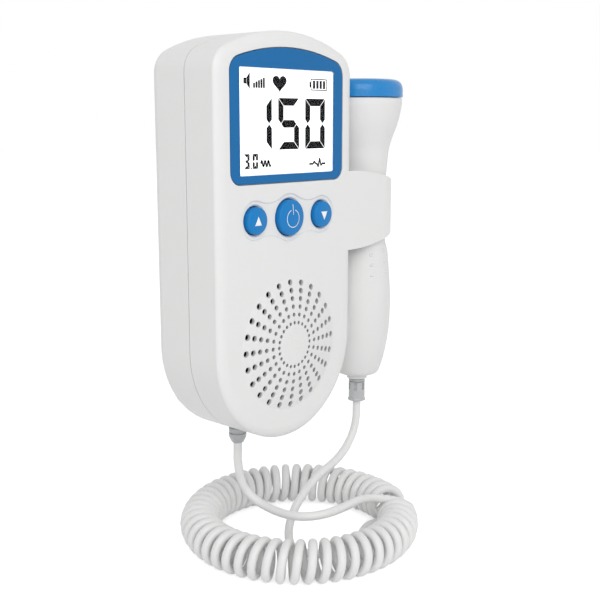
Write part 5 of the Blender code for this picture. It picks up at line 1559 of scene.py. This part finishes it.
@dataclass
class SpeakerDome:
    """The domed grille: rings of holes that grow outwards."""

    rim: float = 0.0231
    edge: float = 0.0226
    rise: float = 0.0026
    thick: float = 0.0012
    first: float = 0.00753
    last: float = 0.0210
    holes_end: float = 0.0223
    rings: int = 6
    spokes: int = 24
    small: float = 0.0012
    large: float = 0.0022
    crowding: float = 1.3
    lip_drop: float = 0.00012
    lip_depth: float = 0.0002
    lip_draw: float = 0.10

    def height(self, radius: Array) -> Array:
        """The dome's height above the case: the rise less its share by the radius squared."""
        return self.rise * (1 - (radius / self.edge) ** 2)

    def cell(self, inner: float, outer: float, middle: float, hole: float, per_side: int = 6,
             rows: int = 4) -> Array:
        """One hole and the sector round it, as rings of points from the hole's lip to the border.

        The border's points are even along the four sides of the sector in radius and angle. The
        hole's points lie on a circle in the directions of those, and the rows between blend from
        one to the other. Radius and angle are given before they are turned to places.

        Args:
            inner: Inner radius of the sector.
            outer: Outer radius of the sector.
            middle: Radius of the hole's middle.
            hole: The hole's radius.
            per_side: Points along each side.
            rows: Rows from lip to border.

        Returns:
            An array (rows, points, 2) of places in the sector's own plane.
        """
        half = np.pi / self.spokes
        even = np.linspace(0, 1, per_side, endpoint=False)
        corners = [(inner, -half), (outer, -half), (outer, half), (inner, half)]
        sides = [np.column_stack([a[0] + (b[0] - a[0]) * even, a[1] + (b[1] - a[1]) * even])
                 for a, b in zip(corners, corners[1:] + corners[:1])]
        border = np.vstack(sides)
        edge = np.column_stack([border[:, 0] * np.cos(border[:, 1]),
                                border[:, 0] * np.sin(border[:, 1])])
        away = edge - (middle, 0)
        turn = np.unwrap(np.arctan2(away[:, 1], away[:, 0]))
        lip = np.column_stack([middle + hole * np.cos(turn), hole * np.sin(turn)])
        share = np.linspace(0, 1, rows)[:, None, None] ** self.crowding
        return lip[None] * (1 - share) + edge[None] * share

    def sector(self, inner: float, outer: float, middle: float, hole: float) -> Array:
        """A sector with both its faces and its hole's wall, as rows of points (x, z, height)."""
        flat = self.cell(inner, outer, middle, hole)
        height = self.height(np.linalg.norm(flat, axis=-1))
        height[0] -= self.lip_drop
        top = np.concatenate([flat, height[..., None]], -1)
        drawn = flat[:1] - (flat[:1] - flat[:1].mean(1, keepdims=True)) * self.lip_draw
        lip = np.concatenate([drawn, height[:1, :, None] - self.lip_depth], -1)
        base = np.concatenate([drawn, height[:1, :, None] - self.thick], -1)
        under = np.concatenate([flat[1:], height[1:, :, None] - self.thick], -1)
        return np.concatenate([top[::-1], lip, base, under])

    def build(self) -> None:
        """Make the dome of one sector per ring, turned to every spoke, with walls in its holes."""
        step = (self.last - self.first) / (self.rings - 1)
        bounds = [self.first - step / 2 + step * n for n in range(self.rings)] + [self.holes_end]
        patches = Patchwork()
        for number in range(self.rings):
            width = self.small + (self.large - self.small) * number / (self.rings - 1)
            rows = self.sector(bounds[number], bounds[number + 1], self.first + step * number, width / 2)
            x, z, height = rows.reshape(-1, 3).T
            for turn in 2 * np.pi * np.arange(self.spokes) / self.spokes:
                cos, sin = np.cos(turn), np.sin(turn)
                patches.add(np.column_stack([x * cos - z * sin, FRONT - height,
                                             GRILLE_Z + (x * sin + z * cos)]), *rows.shape[:2], True)
        around = self.spokes * 6
        fine = np.linspace(0, 2 * np.pi, around, endpoint=False)[None]
        place = (0, FRONT, GRILLE_Z)
        for reach in (np.linspace(0, bounds[0], 8), np.linspace(bounds[-1], self.rim, 4)):
            for drop in (0.0, self.thick):
                level = self.height(reach) - drop
                patches.add(on_axis(reach[:, None], level[:, None], fine, place, Facing.FRONT),
                            len(reach), around, True)
        rim = np.full(2, self.rim)
        side = self.height(rim) - (0.0, self.thick)
        patches.add(on_axis(rim[:, None], side[:, None], fine, place, Facing.FRONT), 2, around, True)
        dome = patches.surface("speaker_dome", weld=0.000004)
        smooth(dome, 35)
        settle(dome, Body.MONITOR, Finishes.DOME.material(), ("speaker_grille",))
        dress(Finishes.DARK.material(), "speaker_frame")
        dress(Finishes.CONE.material(), "speaker_cone")
        dress(Finishes.NICKEL.material(), "speaker_magnet")


@dataclass
class Probe:
    """The hand probe: shell, cap, grip ribs, collar and what is inside."""

    axis: tuple[float, float, float] = (*PROBE_AXIS, 0.0)
    stations: tuple[tuple[float, float], ...] = (
        (-0.0648, 0.0080), (-0.0600, 0.0096), (-0.0540, 0.0110), (-0.0480, 0.0119),
        (-0.0400, 0.0124), (-0.0320, 0.0123), (-0.0260, 0.0119), (-0.0200, 0.0114),
        (-0.0165, 0.0110), (-0.0140, 0.0103), (-0.0100, 0.0099), (0.0000, 0.0098),
        (0.0090, 0.0099), (0.0135, 0.0103), (0.0180, 0.0107), (0.0215, 0.0111),
        (0.0255, 0.0123), (0.0300, 0.0139), (0.0345, 0.0150), (0.0375, 0.0155), (0.0396, 0.0155))
    bottom: float = -0.0648
    top: float = 0.0396
    wall: float = 0.0016
    rim_round: float = 0.0003
    foot_start: float = 0.0024
    foot_round: float = 0.0021
    boss_radius: float = 0.0039
    boss_height: float = 0.002
    boss_bore: float = 0.0027
    cap_radius: float = 0.0158
    cap_height: float = 0.0064
    cap_round: float = 0.0042
    spigot_radius: float = 0.0136
    spigot_bore: float = 0.0120
    spigot_length: float = 0.003
    rib_columns: tuple[tuple[float, float, float, int], ...] = (
        (-0.0138, 0.00373, -115.0, 4), (-0.0164, 0.00395, -83.5, 3))
    rib_half_turn: float = 0.080
    rib_half_height: float = 0.00055
    rib_lift: float = 0.00040
    rib_sunk: float = 0.00003
    rib_thick: float = 0.0003
    collar_gap: float = 0.0023
    collar_length: float = 0.0086
    flange_low: float = 0.0019
    flange_high: float = 0.0031
    lip_radius: float = 0.00345
    lip_inner: float = 0.0017
    slots: int = 6

    def radius(self, height: Array) -> Array:
        """Outer radius: a cubic through each two stations, with the mean slope at each station."""
        level = np.array([z for z, _ in self.stations])
        reach = np.array([r for _, r in self.stations])
        slope = np.gradient(reach, level)
        place = np.clip(np.searchsorted(level, height, side="right") - 1, 0, len(level) - 2)
        span = level[place + 1] - level[place]
        t = np.clip((height - level[place]) / span, 0, 1)
        start = (2 * t ** 3 - 3 * t ** 2 + 1) * reach[place]
        start = start + (t ** 3 - 2 * t ** 2 + t) * span * slope[place]
        end = (3 * t ** 2 - 2 * t ** 3) * reach[place + 1]
        return start + end + (t ** 3 - t ** 2) * span * slope[place + 1]

    def shell(self) -> None:
        """The hollow shell, turned, with a rounded foot and a boss for the collar."""
        height = np.linspace(self.top - self.rim_round, self.bottom + self.foot_start, 120)
        outer = np.column_stack([self.radius(height), height])
        rim = float(self.radius(np.array(self.top)))
        foot = float(self.radius(np.array(self.bottom)))
        low, inside = self.bottom - self.boss_height, self.bottom + self.wall
        base = eased([outer[-1], (foot, self.bottom), (self.boss_radius, self.bottom),
                      (self.boss_radius, low), (self.boss_bore, low), (self.boss_bore, inside)],
                     [0, self.foot_round, 0.0003, 0.0003, 0.0002, 0], 8)
        level = np.linspace(inside, self.top, 60)
        inner = np.column_stack([self.radius(level) - self.wall, level])
        lip = np.array([(rim - self.rim_round, self.top)])
        line = np.vstack([outer, base[1:], inner, lip])
        shell = turned("probe_body", line, self.axis, Facing.UP, 96, True)
        smooth(shell, 40)
        settle(shell, Body.PROBE, Finishes.PROBE.material(), ("probe_shell",))

    def cap(self) -> None:
        """The blue cap with a soft top edge, a flat face and a spigot."""
        low, reach = self.top + FIT, self.cap_radius
        high = low + self.cap_height
        end, under = low - self.spigot_length, high - self.wall
        line = eased([(0, high), (reach, high), (reach, low), (self.spigot_radius, low),
                      (self.spigot_radius, end), (self.spigot_bore, end), (self.spigot_bore, under),
                      (0, under)], [0, self.cap_round, 0.0002, 0.0001, 0.0002, 0.0002, 0.001, 0], 12)
        cap = turned("probe_face", line, self.axis, Facing.UP, 96)
        smooth(cap, 40)
        settle(cap, Body.PROBE, Finishes.CAP.material(), ("probe_cap",))

    def ribs(self) -> None:
        """Two short columns of small raised ribs: flat domes laid on the grip.

        Each rib is a grid in angle and height. Its lift is one less the fourth power of its place
        across, times one less the square of its place along, so it fades into the shell at its
        border.
        """
        places = [(start - step * n, turn) for start, step, turn, count in self.rib_columns
                  for n in range(count)]
        across = np.linspace(-1, 1, 13)[None]
        along = np.linspace(-1, 1, 9)[:, None]
        lift = self.rib_lift * (1 - across ** 4) * (1 - along ** 2) - self.rib_sunk
        patches = Patchwork()
        for height, turn in places:
            z = height + along * self.rib_half_height + 0 * across
            angle = np.radians(turn) + across * self.rib_half_turn + 0 * along
            reach = self.radius(z) + lift
            patches.add(np.stack([self.axis[0] + reach * np.cos(angle),
                                  self.axis[1] + reach * np.sin(angle), z], -1).reshape(-1, 3),
                        *z.shape)
        ribs = patches.surface("grip_ribs", outwards=False)
        thicken(ribs, self.rib_thick, -1)
        settle(ribs, Body.PROBE, Finishes.PROBE.material())

    def collar(self) -> None:
        """The slotted collar under the probe, with a lip at its lower end."""
        high = self.bottom - self.collar_gap
        low = high - self.collar_length
        above, below = self.bottom + self.flange_high, self.bottom + self.flange_low
        lip, inner, dish = self.lip_radius, self.lip_inner, low + 0.0006
        line = eased([(0, above), (RELIEF_FLANGE, above), (RELIEF_FLANGE, below),
                      (RELIEF_NECK, below), (RELIEF_NECK, high), (RELIEF_COLLAR, high),
                      (RELIEF_COLLAR, low + 0.0010), (lip, low + 0.0005), (lip, low), (inner, low),
                      (inner, dish), (0, dish)],
                     [0, 0.0002, 0.0002, 0.0001, 0.0001, 0.0003, 0.0002, 0.0002, 0.0002, 0.0001,
                      0.0001, 0], 4)
        collar = turned("probe_collar", line, self.axis, Facing.UP, 64)
        cuts = []
        for number in range(self.slots):
            slot = box(f"slot_{number}", (0.0025, -0.0005, high - 0.0042), (0.0040, 0.0005, high - 0.0014))
            slot.rotation_euler = (0, 0, 2 * math.pi * (number + 0.5) / self.slots)
            slot.location = self.axis
            cuts.append(slot)
        groove = [(0.0033, high - 0.0012), (0.0026, high - 0.0012), (0.0026, high - 0.0007),
                  (0.0033, high - 0.0007)]
        cuts.append(turned("collar_groove", groove, self.axis, Facing.UP, 64, True))
        carve(collar, cuts=cuts)
        smooth(collar, 40)
        settle(collar, Body.PROBE, Finishes.COLLAR.material(), ("probe_relief",))

    def build(self) -> None:
        """Make the probe and dress what is inside it."""
        self.shell()
        self.cap()
        self.ribs()
        self.collar()
        dress(Finishes.CRYSTAL.material(), "crystal_left", "crystal_right")
        dress(Finishes.INNER.material(), "crystal_holder")
        dress(Finishes.BOARD.material(), "probe_board")


@dataclass
class UnitCollar:
    """The tapered strain relief under the case."""

    axis: tuple[float, float, float] = (*CORD_EXIT, 0.0)
    taper: float = 0.0022
    length: float = 0.0033
    flange: float = 0.0012
    groove_radius: float = 0.00265
    groove_low: float = 0.0012
    groove_high: float = 0.0018
    tip_radius: float = 0.0021

    def build(self) -> None:
        """A flange inside, a neck, a collar with one groove, and a taper down to the cord."""
        box_low, box_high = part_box("unit_relief")
        tip, top = box_low.z, box_high.z
        low = tip + self.taper
        high, under = low + self.length, top - self.flange
        lower, upper = low + self.groove_low, low + self.groove_high
        line = eased([(0, top), (RELIEF_FLANGE, top), (RELIEF_FLANGE, under), (RELIEF_NECK, under),
                      (RELIEF_NECK, high), (RELIEF_COLLAR, high), (RELIEF_COLLAR, upper),
                      (self.groove_radius, upper), (self.groove_radius, lower),
                      (RELIEF_COLLAR, lower), (RELIEF_COLLAR, low), (self.tip_radius, tip), (0, tip)],
                     [0, 0.0002, 0.0002, 0.0001, 0.0001, 0.0003, 0.0001, 0.0001, 0.0001, 0.0001,
                      0.0004, 0.0003, 0], 4)
        collar = turned("unit_collar", line, self.axis, Facing.UP, 64)
        smooth(collar, 40)
        settle(collar, Body.MONITOR, Finishes.COLLAR.material(), ("unit_relief",))


@dataclass
class PowerPack:
    """Cells, springs and contact plates in the battery bay, and the boards and switches."""

    cell_x: float = 0.0076
    cell_y: float = -0.0096
    radius: float = 0.00725
    body: float = 0.0490
    nub: float = 0.0015
    nub_radius: float = 0.0027
    step: float = 0.0001
    band: float = 0.012
    band_margin: float = 0.0002
    wire: float = 0.0007
    coil_base: float = 0.0046
    coil_shrink: float = 0.0020
    coil_turns: int = 3

    def cell(self, name: str, node: str, side: int) -> None:
        """A cell with crimped ends and a nub: a turned profile, upside down where side is 1."""
        low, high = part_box(node)
        reach, body, step = self.radius, self.body, self.step
        tip = body + self.nub
        line = eased([(0, tip), (self.nub_radius, tip), (self.nub_radius, body + step),
                      (reach - 0.0012, body + step), (reach - 0.0009, body - step), (reach, body),
                      (reach, 0), (reach - 0.0008, 0), (reach - 0.0010, 0.0003), (0.0040, 0.0002),
                      (0.0038, 0), (0, 0)],
                     [0, 0.0004, 0.0002, 0.0002, 0.0001, 0.0003, 0.0003, 0.0001, 0.0001, 0.0001,
                      0.0001, 0], 4)
        line[:, 1] = np.where(side < 0, line[:, 1] + low.z, high.z - line[:, 1])
        cell = turned(name, line, (side * self.cell_x, self.cell_y, 0), Facing.UP, 64)
        smooth(cell, 35)
        plus = (low.z + body - self.band, low.z + body - self.band_margin)
        minus = (high.z - body + self.band_margin, high.z - body + self.band)
        band = plus if side < 0 else minus
        settle(cell, Body.MONITOR, CellWrap(name + "_sleeve", *band).material(), (node,))

    def spring(self, name: str, node: str, side: int) -> None:
        """A conical spring: a helix whose radius shrinks evenly as it climbs."""
        low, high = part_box(node)
        share = np.linspace(0, 1, 145)
        reach = self.coil_base - self.coil_shrink * share
        angle = 2 * np.pi * self.coil_turns * share
        wire = self.wire
        span = high.z - low.z - wire
        height = low.z + wire / 2 + span * share if side < 0 else high.z - wire / 2 - span * share
        path = np.column_stack([side * self.cell_x + reach * np.cos(angle),
                                self.cell_y + reach * np.sin(angle), height])
        coil = tube(name, path, wire, 10)
        smooth(coil, 60)
        settle(coil, Body.MONITOR, Finishes.NICKEL.material(), (node,))

    def build(self) -> None:
        """Make the cells and springs, and dress the flat parts."""
        self.cell("aa_cell_left", "cell_left", -1)
        self.cell("aa_cell_right", "cell_right", 1)
        self.spring("coil_left", "spring_left", -1)
        self.spring("coil_right", "spring_right", 1)
        dress(Finishes.NICKEL.material(), "contact_left", "contact_right", "contact_bridge")
        dress(Finishes.BOARD.material(), "main_board")
        dress(Finishes.DARK.material(), "up_switch", "power_switch", "down_switch")


def main() -> None:
    """Build the studio and every sub-assembly."""
    logging.basicConfig(level=logging.INFO, format="%(message)s")
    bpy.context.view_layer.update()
    Studio().build()
    CurlyCord().build()
    Case().build()
    Screen().build()
    SpeakerDome().build()
    for button in BUTTONS:
        button.build()
    Probe().build()
    UnitCollar().build()
    PowerPack().build()


if __name__ == "__main__":
    main()
